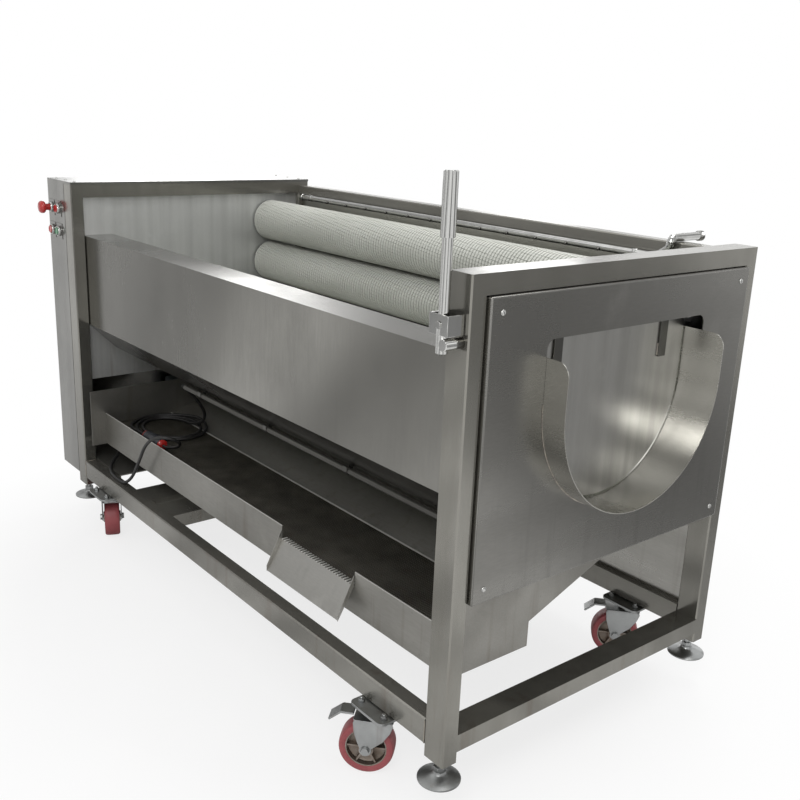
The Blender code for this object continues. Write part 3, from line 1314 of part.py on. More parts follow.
def make_wheel(name, place, turn):
    """Make a caster's wheel: tyre, web and hub turned as one, with its axle's bore."""
    bore = AXLE_RADIUS + BORE_CLEARANCE / 2
    half = WHEEL_WIDTH / 2
    rim = WHEEL_RADIUS / math.cos(math.pi / WHEEL_SIDES)
    profile = [(bore, -HUB_HALF_WIDTH), (HUB_RADIUS_WHEEL, -HUB_HALF_WIDTH), (HUB_RADIUS_WHEEL, -WEB_HALF),
               (TYRE_INNER, -WEB_HALF), (TYRE_INNER, -half), (rim - TYRE_SHOULDER / 2, -half),
               (rim, -half + TYRE_SHOULDER), (rim, half - TYRE_SHOULDER), (rim - TYRE_SHOULDER / 2, half),
               (TYRE_INNER, half), (TYRE_INNER, WEB_HALF), (HUB_RADIUS_WHEEL, WEB_HALF),
               (HUB_RADIUS_WHEEL, HUB_HALF_WIDTH), (bore, HUB_HALF_WIDTH)]
    bm = bmesh.new()
    lathe(bm, profile, "Y", (0.0, 0.0), WHEEL_SIDES, math.pi / 2 + math.pi / WHEEL_SIDES)
    wheel = mesh_object(name, bm, "red_tyre", smooth=True)
    place_caster_piece(wheel, place, turn, (-WHEEL_TRAIL, WHEEL_RADIUS))


def make_pedal(name, place, turn):
    """Make a caster's brake pedal, hinged above the fork's back."""
    run = PEDAL_PIVOT_TRAIL - PEDAL_TIP_TRAIL
    drop = PEDAL_TIP_Z - PEDAL_PIVOT_Z
    half = PEDAL_THICKNESS / 2
    path = [(half, 0.0), (run / 2, 0.0), (run, drop)]
    bm = bmesh.new()
    extrude(bm, bent_sheet(path, PEDAL_THICKNESS), "Y", -PEDAL_HALF_WIDTH, PEDAL_HALF_WIDTH)
    pedal = mesh_object(name, bm, "zinc")
    place_caster_piece(pedal, place, turn, (-PEDAL_PIVOT_TRAIL, PEDAL_PIVOT_Z))


def make_casters():
    """Make the four casters, braked at the outlet end."""
    for index, (place, turn, braked) in enumerate(caster_places()):
        make_caster_plate(f"caster_plate_{index + 1}", place)
        make_fork(f"caster_fork_{index + 1}", place, turn)
        make_wheel(f"caster_wheel_{index + 1}", place, turn)
        if braked:
            make_pedal(f"brake_pedal_{index + 1}", place, turn)


def make_feet():
    """Make the four levelling feet, raised clear of the floor."""
    base = FOOT_BOTTOM
    profile = [(0, base), (FOOT_RADIUS, base), (FOOT_RADIUS, base + FOOT_EDGE),
               (FOOT_SHOULDER_RADIUS, base + FOOT_SHOULDER), (FOOT_NECK_RADIUS, base + FOOT_NECK),
               (FOOT_NECK_RADIUS, base + FOOT_HEX), (STEM_RADIUS, base + FOOT_HEX),
               (STEM_RADIUS, base + STEM_LENGTH), (0, base + STEM_LENGTH)]
    for index, place in enumerate(foot_places()):
        bm = bmesh.new()
        lathe(bm, profile, "Z", place, FOOT_SIDES)
        mesh_object(f"foot_{index + 1}", bm, "zinc", (*place, base), smooth=True)


def supply_route():
    """Return the hand-chosen route of the cord from its gland to the coupler."""
    lying = RAIL_TOP + CORD_RADIUS + GAP
    gland_face = POST_WIDTH + GAP * 2 + GLAND_LENGTH
    end = -COUPLER_END + GAP
    hung = [(0.042, 0.112, 0.323), (0.068, 0.132, 0.302), (0.101, 0.118, 0.272), (0.131, 0.080, 0.248),
            (0.166, 0.046, 0.236), (0.216, 0.026, lying), (0.271, 0.020, lying), (0.326, 0.022, lying + GAP),
            (0.381, 0.026, 0.268), (0.436, 0.026, 0.336), (0.486, 0.026, 0.402), (0.534, 0.034, 0.440),
            (0.568, 0.062, 0.446), (0.570, 0.096, 0.428), (0.546, 0.112, 0.404), (0.512, 0.104, 0.388)]
    return [(-GLAND_SETBACK, gland_face, GLAND_Z), (-GLAND_SETBACK, gland_face + CORD_LEAD, GLAND_Z),
            *((DRIVE_X + x, y, z) for x, y, z in hung),
            (end + CORD_LEAD, COUPLER_Y, coupler_z()), (end, COUPLER_Y, coupler_z())]


def coupler_z():
    """Return the height of the coupler's axis as it lies on the screen."""
    return SCREEN_TOP + COUPLER_RADIUS + GAP


def loop_route():
    """Return the cord's route from the coupler, round its loose loops and up to the conduit."""
    start = -COUPLER_START - GAP
    route = [(start, COUPLER_Y, coupler_z()), (start - CORD_LEAD, COUPLER_Y, coupler_z())]
    count = int(LOOP_TURNS * LOOP_POINTS_A_TURN)
    for index in range(1, count + 1):
        turns = index / LOOP_POINTS_A_TURN
        angle = -math.pi / 2 - math.tau * turns
        shrink = LOOP_PITCH * turns
        x = -LOOP_SETBACK + (LOOP_HALF_LENGTH - shrink) * math.cos(angle)
        y = LOOP_Y + (LOOP_HALF_WIDTH - shrink) * math.sin(angle)
        route.append((x, y, slope_height(y + CORD_RADIUS) + CORD_RADIUS + GAP))
    climb = [(0.326, 0.290, 0.386), (0.371, 0.284, 0.410), (0.414, 0.266, 0.444), (0.447, 0.238, 0.484),
             (0.468, 0.204, 0.524), (0.486, 0.170, 0.558), (0.512, 0.142, 0.581)]
    route += [(DRIVE_X + x, y, z) for x, y, z in climb]
    route += [(-CONDUIT_DRIVE_END - GAP - CORD_LEAD, CONDUIT_Y, CONDUIT_Z),
              (-CONDUIT_DRIVE_END - GAP, CONDUIT_Y, CONDUIT_Z)]
    return route


def least_gap(points):
    """Return the least gap between two stretches of a cord that are not next to each other."""
    least = None
    skip = 3
    for first in range(len(points) - 1):
        for second in range(first + skip, len(points) - 1):
            apart = segment_distance(points[first], points[first + 1], points[second], points[second + 1])
            if least is None or apart < least:
                least = apart
    return least - 2 * CORD_RADIUS


def segment_distance(start, end, other_start, other_end):
    """Return the least distance between two short straight runs, sampled along each."""
    shares = (0.0, 0.25, 0.5, 0.75, 1.0)
    return min((start.lerp(end, one) - other_start.lerp(other_end, two)).length for one in shares for two in shares)


def make_cord():
    """Make the gland, the coupler, the supply cord and the loose loops."""
    bm = bmesh.new()
    start = INNER_NEAR_Y
    profile = [(0, start), (GLAND_RADIUS, start), (GLAND_RADIUS, start + GLAND_NUT),
               (GLAND_DOME_RADIUS, start + GLAND_LENGTH), (0, start + GLAND_LENGTH)]
    lathe(bm, profile, "Y", (-GLAND_SETBACK, GLAND_Z), FOOT_SIDES)
    mesh_object("cord_gland", bm, "black_plastic", smooth=True)
    bm = bmesh.new()
    left, right = -COUPLER_START, -COUPLER_END
    third = (right - left) / 3
    profile = [(0, left), (COUPLER_WAIST, left), (COUPLER_RADIUS, left + COUPLER_CHAMFER),
               (COUPLER_RADIUS, left + third), (COUPLER_WAIST, left + third + COUPLER_CHAMFER),
               (COUPLER_WAIST, right - third - COUPLER_CHAMFER), (COUPLER_RADIUS, right - third),
               (COUPLER_RADIUS, right - COUPLER_CHAMFER), (COUPLER_WAIST, right), (0, right)]
    lathe(bm, profile, "X", (COUPLER_Y, coupler_z()), FOOT_SIDES)
    mesh_object("cord_coupler", bm, "black_plastic", smooth=True)
    total = 0.0
    for name, route, ground in (("cord_supply", supply_route(), rail_height),
                                ("cord_loops", loop_route(), slope_height)):
        points, length = smooth_route(route[1:-1], CORD_SPACING)
        points = [Vector(route[0])] + points + [Vector(route[-1])]
        for point in points:
            point.z = max(point.z, ground(point.y + CORD_RADIUS) + CORD_RADIUS + GAP)
        cord_object(name, points, "black_rubber")
        length += 2 * CORD_LEAD
        total += length
        print(name, "length", round(length, 3), "points", len(points), "least gap mm",
              round(least_gap(points) * 1000, 2))
    print("cord total", round(total, 3))


def centre_on_floor():
    """Move the whole model so that the middle of its foot print, cords left out, is at the origin."""
    bpy.context.view_layer.update()
    graph = bpy.context.evaluated_depsgraph_get()
    low, high = Vector((math.inf,) * 3), Vector((-math.inf,) * 3)
    for item in bpy.data.objects:
        if item.type != "MESH" or item.hide_render or item.name in CORD_NODES:
            continue
        placed = item.evaluated_get(graph)
        for vert in placed.data.vertices:
            place = placed.matrix_world @ vert.co
            low = Vector(map(min, low, place))
            high = Vector(map(max, high, place))
    root_empty().location = (-(low.x + high.x) / 2, -(low.y + high.y) / 2, -low.z)
    bpy.context.view_layer.update()


def main():
    """Build every piece of the machine."""
    clear_scene()
    make_frame()
    make_near_panel()
    make_back_panel()
    make_end_walls()
    make_outlet_cover()
    make_discharge_lip()
    make_gate()
    make_rollers()
    make_chains()
    make_drive()
    make_housing()
    make_controls()
    make_tray()
    make_screen()
    make_chute()
    make_spray_pipe()
    make_conduit()
    make_casters()
    make_feet()
    make_cord()
    centre_on_floor()


main()
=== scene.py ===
"""Roller vegetable washer, dressed: finishes, brushes, gate, drive, screen, casters and cords.

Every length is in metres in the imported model's own frame: +X points out of the outlet end, -Y is the near
side and Z = 0 is the floor.
"""

import logging
import math
from dataclasses import dataclass
from enum import Enum

import bpy
from mathutils import Matrix, Vector


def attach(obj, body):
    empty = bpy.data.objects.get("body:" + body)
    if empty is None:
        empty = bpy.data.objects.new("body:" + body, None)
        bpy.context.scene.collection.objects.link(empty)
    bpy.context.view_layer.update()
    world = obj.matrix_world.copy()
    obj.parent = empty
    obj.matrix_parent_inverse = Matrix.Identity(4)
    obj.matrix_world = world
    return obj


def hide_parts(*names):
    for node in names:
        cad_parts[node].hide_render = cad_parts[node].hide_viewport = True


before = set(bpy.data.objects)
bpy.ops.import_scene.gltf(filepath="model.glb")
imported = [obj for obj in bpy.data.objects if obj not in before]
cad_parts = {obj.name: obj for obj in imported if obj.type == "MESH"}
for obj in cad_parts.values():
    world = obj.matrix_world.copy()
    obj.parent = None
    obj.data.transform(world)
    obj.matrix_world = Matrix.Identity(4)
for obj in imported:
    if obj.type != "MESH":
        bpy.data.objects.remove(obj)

LOG = logging.getLogger("washer")
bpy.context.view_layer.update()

Point = tuple[float, float, float]
Pair = tuple[float, float]
Colour = tuple[float, float, float]
Piece = bpy.types.Object
Tree = bpy.types.NodeTree
Socket = bpy.types.NodeSocket
Outputs = bpy.types.NodeOutputs

MIDDLE_Y = 0.002354
UNMOVED = Matrix.Identity(4)
SMOOTH_ANGLE = 35.0
CUT_ANGLE = 30.0
EASE_ANGLE = 40.0
TUFT_ANGLE = 60.0
LOOP_MERGE = 1e-5
PIPE_MERGE = 1e-6
BEND_STEPS = 6
BEAD_SIDES = 8
WHITE = (1, 1, 1, 1)
PATCH_RANGE = (0.42, 0.60)


class Axis(Enum):
    """The frame axis that a piece is turned about or extruded along."""

    X = "X"
    Y = "Y"
    Z = "Z"

    def turn(self) -> Matrix:
        """Return the turn that takes a piece drawn on (a, b, along) to this axis.

        Returns:
            The turn.
        """
        if self is Axis.X:
            return Matrix(((0, 0, 1, 0), (1, 0, 0, 0), (0, 1, 0, 0), (0, 0, 0, 1)))
        if self is Axis.Y:
            return Matrix(((0, 1, 0, 0), (0, 0, 1, 0), (1, 0, 0, 0), (0, 0, 0, 1)))
        return UNMOVED


class Slot(Enum):
    """The record's material slots."""

    STAINLESS = "stainless"
    BRUSHED = "brushed_stainless"
    ZINC = "zinc"
    FIBRE = "brush_fibre"
    TYRE = "red_tyre"
    PAINT = "grey_paint"
    BLACK = "black_plastic"
    RED = "red_plastic"
    GREEN = "green_plastic"
    RUBBER = "black_rubber"
    DARK = "dark_steel"


# Shader groups that several finishes share

def feed(tree: Tree, target: Socket, source: object) -> None:
    """Link a socket to a node's input, or set the input's own value.

    Args:
        tree: The tree that holds both.
        target: The input.
        source: A socket or a value.
    """
    if isinstance(source, Socket):
        tree.links.new(source, target)
    else:
        target.default_value = source


def group_of(name: str, extra: str, default: object, *results: str) -> tuple:
    """Start a shader node group that reads a place and one more value.

    Args:
        name: The group's name.
        extra: The name of the input beside Vector.
        default: That input's default, a number or a vector.
        results: The names of the numbers that the group gives.

    Returns:
        The group tree, its two input sockets and the inputs of its output node.
    """
    tree = bpy.data.node_groups.new(name, "ShaderNodeTree")
    kind = "NodeSocketVector" if isinstance(default, tuple) else "NodeSocketFloat"
    tree.interface.new_socket(name="Vector", in_out="INPUT", socket_type="NodeSocketVector")
    tree.interface.new_socket(name=extra, in_out="INPUT", socket_type=kind).default_value = default
    for label in results:
        tree.interface.new_socket(name=label, in_out="OUTPUT", socket_type="NodeSocketFloat")
    start, end = tree.nodes.new("NodeGroupInput").outputs, tree.nodes.new("NodeGroupOutput").inputs
    return tree, start["Vector"], start[extra], end


def noise_in(tree: Tree, vector: Socket, scale: float, detail: float,
             roughness: float = 0.55) -> Socket:
    """Add a noise pattern to a tree and return its value.

    Args:
        tree: The tree that takes the node.
        vector: The place that the pattern is read at.
        scale: The pattern's frequency.
        detail: The number of finer layers.
        roughness: How strong the finer layers are.

    Returns:
        The socket that carries the value.
    """
    noise = tree.nodes.new("ShaderNodeTexNoise")
    noise.inputs["Scale"].default_value = scale
    noise.inputs["Detail"].default_value = detail
    noise.inputs["Roughness"].default_value = roughness
    tree.links.new(vector, noise.inputs["Vector"])
    return noise.outputs["Fac"]


def mapped(tree: Tree, value: Socket, low: float, high: float,
           to_low: float = 0.0, to_high: float = 1.0) -> Socket:
    """Add a clamped change of range and return its value.

    Args:
        tree: The tree that takes the node.
        value: The value to change.
        low: The value that becomes to_low.
        high: The value that becomes to_high.
        to_low: The result at low.
        to_high: The result at high.

    Returns:
        The socket that carries the result.
    """
    node = tree.nodes.new("ShaderNodeMapRange")
    for label, number in zip(("From Min", "From Max", "To Min", "To Max"), (low, high, to_low, to_high)):
        node.inputs[label].default_value = number
    tree.links.new(value, node.inputs["Value"])
    return node.outputs["Result"]


def worked(tree: Tree, operation: str, *terms: object) -> Socket:
    """Add a math node fed by sockets or numbers and return its result.

    Args:
        tree: The tree that takes the node.
        operation: What the node does.
        terms: A socket or a number for each input.

    Returns:
        The socket that carries the result.
    """
    node = tree.nodes.new("ShaderNodeMath")
    node.operation = operation
    for target, term in zip(node.inputs, terms):
        feed(tree, target, term)
    return node.outputs["Value"]


def product(tree: Tree, first: Socket, *factors: object) -> Socket:
    """Multiply a socket by sockets or numbers in turn and return the result.

    Args:
        tree: The tree that takes the nodes.
        first: The first factor.
        factors: The others.

    Returns:
        The socket that carries the product.
    """
    for factor in factors:
        first = worked(tree, "MULTIPLY", first, factor)
    return first


def vector_worked(tree: Tree, operation: str, *terms: object) -> Outputs:
    """Add a vector math node fed by sockets or vectors and return its outputs.

    Args:
        tree: The tree that takes the node.
        operation: What the node does.
        terms: A socket or a vector for each input.

    Returns:
        The node's outputs.
    """
    node = tree.nodes.new("ShaderNodeVectorMath")
    node.operation = operation
    for target, term in zip(node.inputs, terms):
        feed(tree, target, term)
    return node.outputs


def mixed(tree: Tree, share: Socket, low: object, high: object) -> Socket:
    """Mix two values by a share and return the mix.

    Args:
        tree: The tree that takes the node.
        share: How much of high comes through.
        low: A socket, a number or a colour.
        high: A socket or a number, or a colour where colours are mixed.

    Returns:
        The socket that carries the mix.
    """
    node = tree.nodes.new("ShaderNodeMix")
    node.data_type, first, result = ("RGBA", 6, 2) if isinstance(high, tuple) else ("FLOAT", 2, 0)
    feed(tree, node.inputs[0], share)
    for target, item in zip(node.inputs[first:first + 2], (low, high)):
        feed(tree, target, (*item, 1.0) if isinstance(item, tuple) else item)
    return node.outputs[result]


def scaled(colour: Colour, factor: float) -> Colour:
    """Return a colour made darker or lighter."""
    return tuple(min(1.0, channel * factor) for channel in colour)


def make_grain_group() -> Tree:
    """Make the group for a drawn grain: a tone and a height that run along the sheet's brushing.

    Returns:
        The group.
    """
    tree, place, stretch, results = group_of("drawn_grain", "Stretch", (1.0, 1.0, 1.0), "Tone", "Height")
    drawn = vector_worked(tree, "MULTIPLY", place, stretch)["Vector"]
    coarse = noise_in(tree, drawn, 1.0, 1.6)
    fine = noise_in(tree, drawn, 38.0, 2.5, 0.6)
    both = worked(tree, "MULTIPLY_ADD", coarse, 0.7, product(tree, fine, 0.3))
    feed(tree, results["Tone"], mapped(tree, both, 0.34, 0.66))
    feed(tree, results["Height"], fine)
    return tree


def make_marks_group() -> Tree:
    """Make the group for handling: broad cloudy smears with a few wiped streaks.

    Returns:
        The group.
    """
    tree, place, spread, results = group_of("handling_marks", "Spread", 0.5, "Cloud", "Wipe")
    cloud = noise_in(tree, place, 2.6, 5.0, 0.6)
    inner = noise_in(tree, place, 11.0, 4.0, 0.6)
    feed(tree, results["Cloud"], mapped(tree, worked(tree, "ADD", cloud, spread), 0.86, 1.22))
    wiped = product(tree, mapped(tree, inner, 0.52, 0.72), mapped(tree, cloud, 0.42, 0.62))
    feed(tree, results["Wipe"], wiped)
    return tree


def make_speck_group() -> Tree:
    """Make the group for dried drops: small round specks and the runs below them.

    Returns:
        The group.
    """
    tree, place, scale, results = group_of("dried_drops", "Scale", 60.0, "Speck", "Run")
    cells = tree.nodes.new("ShaderNodeTexVoronoi")
    feed(tree, cells.inputs["Vector"], place)
    feed(tree, cells.inputs["Scale"], scale)
    dot = mapped(tree, cells.outputs["Distance"], 0.16, 0.10)
    chosen = mapped(tree, noise_in(tree, place, 9.0, 2.0), 0.5, 0.62)
    feed(tree, results["Speck"], product(tree, dot, chosen))
    drawn = vector_worked(tree, "MULTIPLY", place, (34.0, 34.0, 2.4))["Vector"]
    feed(tree, results["Run"], mapped(tree, noise_in(tree, drawn, 1.0, 3.0, 0.6), 0.56, 0.74))
    return tree


GRAIN = make_grain_group()
MARKS = make_marks_group()
DROPS = make_speck_group()
RUST_COLOUR = (0.17, 0.075, 0.03)
# The first two factors are for smears and wiped streaks; the third darkens the tufts' roots with painted
# shade.
DULL, LIGHT, ROOT_SHADE = 0.74, 1.25, 0.72
GLOSS_SPREAD = 0.08
LEAST_ROUGHNESS = 0.05
BUMP_HEIGHT = 0.0004


@dataclass(frozen=True)
class Finish:
    """One finish of the washer, made into a material the first time that it is asked for.

    Stretch is the grain's frequency along X, Y and Z, so the smallest number is the way the sheet was
    brushed. Foot is the pair of heights between which dried drops fade in, from the first to the second.
    """

    name: str
    slot: Slot
    colour: Colour
    shade: Colour
    roughness: float
    metallic: float = 1.0
    stretch: Point = (90.0, 90.0, 3.0)
    bump: float = 0.0
    cloud: float = 0.25
    wipe: float = 0.3
    drops: float = 0.2
    foot: Pair = (0.9, 0.1)
    rust: float = 0.0
    coat: float = 0.0
    # Tip darkens the tufts towards their roots with painted shade.
    tip: bool = False

    def material(self) -> bpy.types.Material:
        """Return this finish's material."""
        known = bpy.data.materials.get(self.name)
        return known if known else self.make()

    def make(self) -> bpy.types.Material:
        """Build this finish's nodes.

        Returns:
            The material.
        """
        material = bpy.data.materials.new(self.name)
        material.use_nodes = True
        material.diffuse_color = (*self.colour, 1.0)
        tree = material.node_tree
        shader = tree.nodes["Principled BSDF"].inputs
        shader["Metallic"].default_value = self.metallic
        shader["Coat Weight"].default_value = self.coat
        place = tree.nodes.new("ShaderNodeTexCoord").outputs["Object"]
        grain, marks, drops = (self.placed(tree, group, place) for group in (GRAIN, MARKS, DROPS))
        grain.inputs["Stretch"].default_value = self.stretch
        tone = grain.outputs["Tone"]
        feed(tree, shader["Base Color"], self.coloured(tree, place, tone, marks.outputs, drops.outputs))
        uneven = worked(tree, "MULTIPLY_ADD", tone, -GLOSS_SPREAD, self.roughness + GLOSS_SPREAD / 2)
        rough = worked(tree, "MULTIPLY_ADD", marks.outputs["Cloud"], GLOSS_SPREAD, uneven)
        feed(tree, shader["Roughness"], worked(tree, "MAXIMUM", rough, LEAST_ROUGHNESS))
        if self.bump:
            bump = tree.nodes.new("ShaderNodeBump")
            bump.inputs["Strength"].default_value = self.bump
            bump.inputs["Distance"].default_value = BUMP_HEIGHT
            feed(tree, bump.inputs["Height"], grain.outputs["Height"])
            feed(tree, shader["Normal"], bump.outputs["Normal"])
        return material

    @staticmethod
    def placed(tree: Tree, group: Tree, place: Socket) -> bpy.types.Node:
        """Put a shared group in a material and give it the place to read.

        Args:
            tree: The material's tree.
            group: The shared group.
            place: The place on the piece.

        Returns:
            The node that holds the group.
        """
        node = tree.nodes.new("ShaderNodeGroup")
        node.node_tree = group
        feed(tree, node.inputs["Vector"], place)
        return node

    def coloured(self, tree: Tree, place: Socket, grain: Socket, marks: Outputs, drops: Outputs) -> Socket:
        """Lay smears, streaks, dried drops, rust and painted shade at the tufts' roots over the grain's two
        tones.

        Args:
            tree: The material's tree.
            place: The place on the piece.
            grain: The grain's tone.
            marks: What the handling marks give.
            drops: What the dried drops give.

        Returns:
            The socket that carries the colour.
        """
        dull = scaled(self.shade, DULL)
        colour = mixed(tree, grain, self.shade, self.colour)
        colour = mixed(tree, product(tree, marks["Cloud"], self.cloud), colour, dull)
        colour = mixed(tree, product(tree, marks["Wipe"], self.wipe), colour, scaled(self.colour, LIGHT))
        height = tree.nodes.new("ShaderNodeSeparateXYZ")
        feed(tree, height.inputs["Vector"], place)
        near_foot = mapped(tree, height.outputs["Z"], *self.foot)
        wet = worked(tree, "MAXIMUM", drops["Speck"], drops["Run"])
        colour = mixed(tree, product(tree, wet, near_foot, self.drops), colour, dull)
        if self.rust:
            stain = product(tree, drops["Run"], near_foot, marks["Cloud"], self.rust)
            colour = mixed(tree, stain, colour, RUST_COLOUR)
        # Painted shade: a finish with tip set darkens its tufts towards their roots, as if shaded between the
        # tufts.
        if self.tip:
            reach = tree.nodes.new("ShaderNodeAttribute")
            reach.attribute_name = "reach"
            root = mapped(tree, reach.outputs["Fac"], 1.0, 0.2)
            colour = mixed(tree, root, colour, scaled(self.shade, ROOT_SHADE))
        return colour


TUBE_STEEL = Finish("tube_steel", Slot.STAINLESS, (0.275, 0.268, 0.243), (0.22, 0.213, 0.189),
                    0.15, metallic=0.8, stretch=(14.0, 14.0, 0.9), drops=0.55, foot=(0.75, 0.15), rust=0.25)
RAIL_STEEL = Finish("rail_steel", Slot.STAINLESS, (0.275, 0.268, 0.243), (0.215, 0.208, 0.185),
                    0.19, metallic=0.7, stretch=(0.9, 14.0, 14.0), drops=0.6, foot=(0.5, 0.1), rust=0.35)
PANEL_STEEL = Finish("panel_steel", Slot.STAINLESS, (0.265, 0.260, 0.240), (0.225, 0.220, 0.203), 0.20,
                     stretch=(5.0, 5.0, 0.5), cloud=0.2, wipe=0.2, drops=0.25, foot=(1.0, 0.6))
COVER_STEEL = Finish("cover_steel", Slot.STAINLESS, (0.245, 0.240, 0.225), (0.195, 0.191, 0.178), 0.27,
                     stretch=(7.0, 1.0, 7.0), cloud=0.3, wipe=0.4, drops=0.45, foot=(1.0, 0.5))
# Lighter than the end walls' own steel: painted light that makes up for the shade inside the machine.
LIGHTENED_WALL_STEEL = Finish("lightened_wall_steel", Slot.BRUSHED, (0.64, 0.645, 0.635), (0.50, 0.505, 0.495),
                    0.34, metallic=0.7, stretch=(60.0, 36.0, 1.2), bump=0.08, cloud=0.2, drops=0.45,
                    foot=(0.9, 0.5), rust=0.5)
# Lighter than the panel steel: painted light that makes up for the shade on the back panel inside the
# machine.
LIGHTENED_BACK_STEEL = Finish("lightened_back_steel", Slot.STAINLESS, (0.50, 0.49, 0.46), (0.38, 0.372, 0.345), 0.26,
                    stretch=(0.8, 9.0, 9.0), cloud=0.25, drops=0.3, foot=(1.1, 0.6), rust=0.2)
FLAP_STEEL = Finish("flap_steel", Slot.BRUSHED, (0.46, 0.455, 0.435), (0.34, 0.335, 0.318), 0.32,
                    stretch=(60.0, 30.0, 0.8), bump=0.06, cloud=0.35, wipe=0.45, drops=0.4, foot=(1.0, 0.6))
# Lighter than the cover's steel: partly the lip's own polish, partly a painted highlight raised to match the
# bright reflection on its arm.
LIP_STEEL_AND_HIGHLIGHT = Finish("lip_steel_and_highlight", Slot.STAINLESS, (0.64, 0.63, 0.585), (0.52, 0.51, 0.47), 0.24,
                   stretch=(1.2, 12.0, 12.0), cloud=0.15, drops=0.15)
TRAY_STEEL = Finish("tray_steel", Slot.STAINLESS, (0.31, 0.302, 0.278), (0.225, 0.218, 0.198),
                    0.30, metallic=0.8, stretch=(0.9, 8.0, 8.0), cloud=0.4, drops=0.5,
                    foot=(0.62, 0.3), rust=0.25)
CHUTE_STEEL = Finish("chute_steel", Slot.STAINLESS, (0.47, 0.462, 0.435), (0.37, 0.362, 0.338), 0.33,
                     stretch=(1.2, 9.0, 9.0), cloud=0.3, wipe=0.4, drops=0.4, foot=(0.5, 0.2))
HOUSING_STEEL = Finish("housing_steel", Slot.STAINLESS, (0.27, 0.267, 0.252), (0.215, 0.212, 0.20), 0.20,
                       stretch=(9.0, 9.0, 0.7), drops=0.35, foot=(0.8, 0.2))
BRIGHT_STEEL = Finish("bright_steel", Slot.STAINLESS, (0.56, 0.56, 0.545), (0.45, 0.45, 0.435), 0.13,
                      stretch=(30.0, 30.0, 2.0), bump=0.02, cloud=0.15, drops=0.1)
# Pale matt steel for the teeth and the rim bead, and for the strip that paints the highlight on the tray's
# fold.
EDGE_STEEL_AND_HIGHLIGHT = Finish("edge_steel_and_highlight", Slot.STAINLESS, (0.66, 0.65, 0.62), (0.52, 0.51, 0.48), 0.36, metallic=0.35,
                    stretch=(1.4, 20.0, 20.0), cloud=0.3, drops=0.2)
# Dark grey: on the gate's shaft it is painted shade, as the shaft sits in shade behind the cover; the conduit
# and the spray nozzles take the same dark grey.
PIPE_STEEL_AND_SHADE = Finish("pipe_steel_and_shade", Slot.STAINLESS, (0.125, 0.122, 0.113), (0.088, 0.086, 0.079), 0.30,
                    stretch=(1.4, 20.0, 20.0), bump=0.02, cloud=0.4, drops=0.3, foot=(1.2, 0.4))
WELD_STEEL = Finish("weld_steel", Slot.STAINLESS, (0.42, 0.385, 0.32), (0.22, 0.20, 0.19), 0.30,
                    stretch=(60.0, 60.0, 60.0), bump=0.25, cloud=0.3)
ZINC_PLATE = Finish("zinc_plate", Slot.ZINC, (0.42, 0.43, 0.43), (0.27, 0.275, 0.27), 0.30,
                    stretch=(16.0, 16.0, 16.0), bump=0.06, cloud=0.45, drops=0.6, foot=(0.3, 0.0), rust=0.45)
HUB_IRON = Finish("hub_iron", Slot.DARK, (0.36, 0.33, 0.30), (0.20, 0.155, 0.12), 0.5,
                  stretch=(30.0, 30.0, 30.0), bump=0.2, cloud=0.5, rust=0.9)
TYRE_RED = Finish("tyre_red", Slot.TYRE, (0.38, 0.088, 0.096), (0.27, 0.052, 0.058), 0.42, metallic=0.0,
                  stretch=(20.0, 20.0, 20.0), bump=0.08, cloud=0.4, drops=0.5, foot=(0.14, 0.0), wipe=0.2)
# The fibre is pale to its roots; tip=True paints shade onto the roots.
FIBRE = Finish("nylon_fibre", Slot.FIBRE, (0.63, 0.64, 0.59), (0.56, 0.57, 0.52), 0.62, metallic=0.0,
               stretch=(3.0, 9.0, 9.0), cloud=0.12, drops=0.0, wipe=0.15, tip=True)
# Darker than the core's own pale colour: painted shade that shows in the gaps between the tufts.
SHADED_CORE_TUBE = Finish("shaded_core_tube", Slot.FIBRE, (0.24, 0.245, 0.215), (0.18, 0.185, 0.16), 0.6, metallic=0.0,
                   stretch=(3.0, 9.0, 9.0), cloud=0.2, drops=0.0)
SCREEN_WIRE = Finish("screen_wire", Slot.DARK, (0.20, 0.19, 0.165), (0.10, 0.095, 0.08), 0.42,
                     stretch=(16.0, 16.0, 16.0), bump=0.05, cloud=0.5, rust=0.5)
CHAIN_STEEL = Finish("chain_steel", Slot.DARK, (0.24, 0.225, 0.20), (0.12, 0.11, 0.10), 0.38,
                     stretch=(30.0, 30.0, 30.0), bump=0.08, cloud=0.4, rust=0.3)
MOTOR_PAINT = Finish("motor_paint", Slot.PAINT, (0.22, 0.26, 0.28), (0.17, 0.20, 0.22), 0.38, metallic=0.0,
                     stretch=(20.0, 20.0, 20.0), bump=0.15, coat=0.3, cloud=0.3)
CASING_PAINT = Finish("casing_paint", Slot.PAINT, (0.26, 0.30, 0.31), (0.20, 0.23, 0.24), 0.42, metallic=0.0,
                      stretch=(16.0, 16.0, 16.0), bump=0.2, coat=0.2, cloud=0.4)
BLACK_MOULD = Finish("black_mould", Slot.BLACK, (0.030, 0.032, 0.040), (0.018, 0.019, 0.024), 0.40,
                     metallic=0.0, stretch=(30.0, 30.0, 30.0), bump=0.1, wipe=0.1)
RED_MOULD = Finish("red_mould", Slot.RED, (0.52, 0.022, 0.018), (0.42, 0.016, 0.014), 0.24, metallic=0.0,
                   stretch=(20.0, 20.0, 20.0), coat=0.5, cloud=0.15, wipe=0.1)
GREEN_MOULD = Finish("green_mould", Slot.GREEN, (0.020, 0.24, 0.085), (0.015, 0.18, 0.06), 0.26, metallic=0.0,
                     stretch=(20.0, 20.0, 20.0), coat=0.5, cloud=0.15, wipe=0.1)
SHEATH = Finish("cord_sheath", Slot.RUBBER, (0.022, 0.021, 0.021), (0.012, 0.012, 0.012), 0.46, metallic=0.0,
                stretch=(30.0, 30.0, 30.0), bump=0.1, cloud=0.35, wipe=0.35)


# Modelling helpers

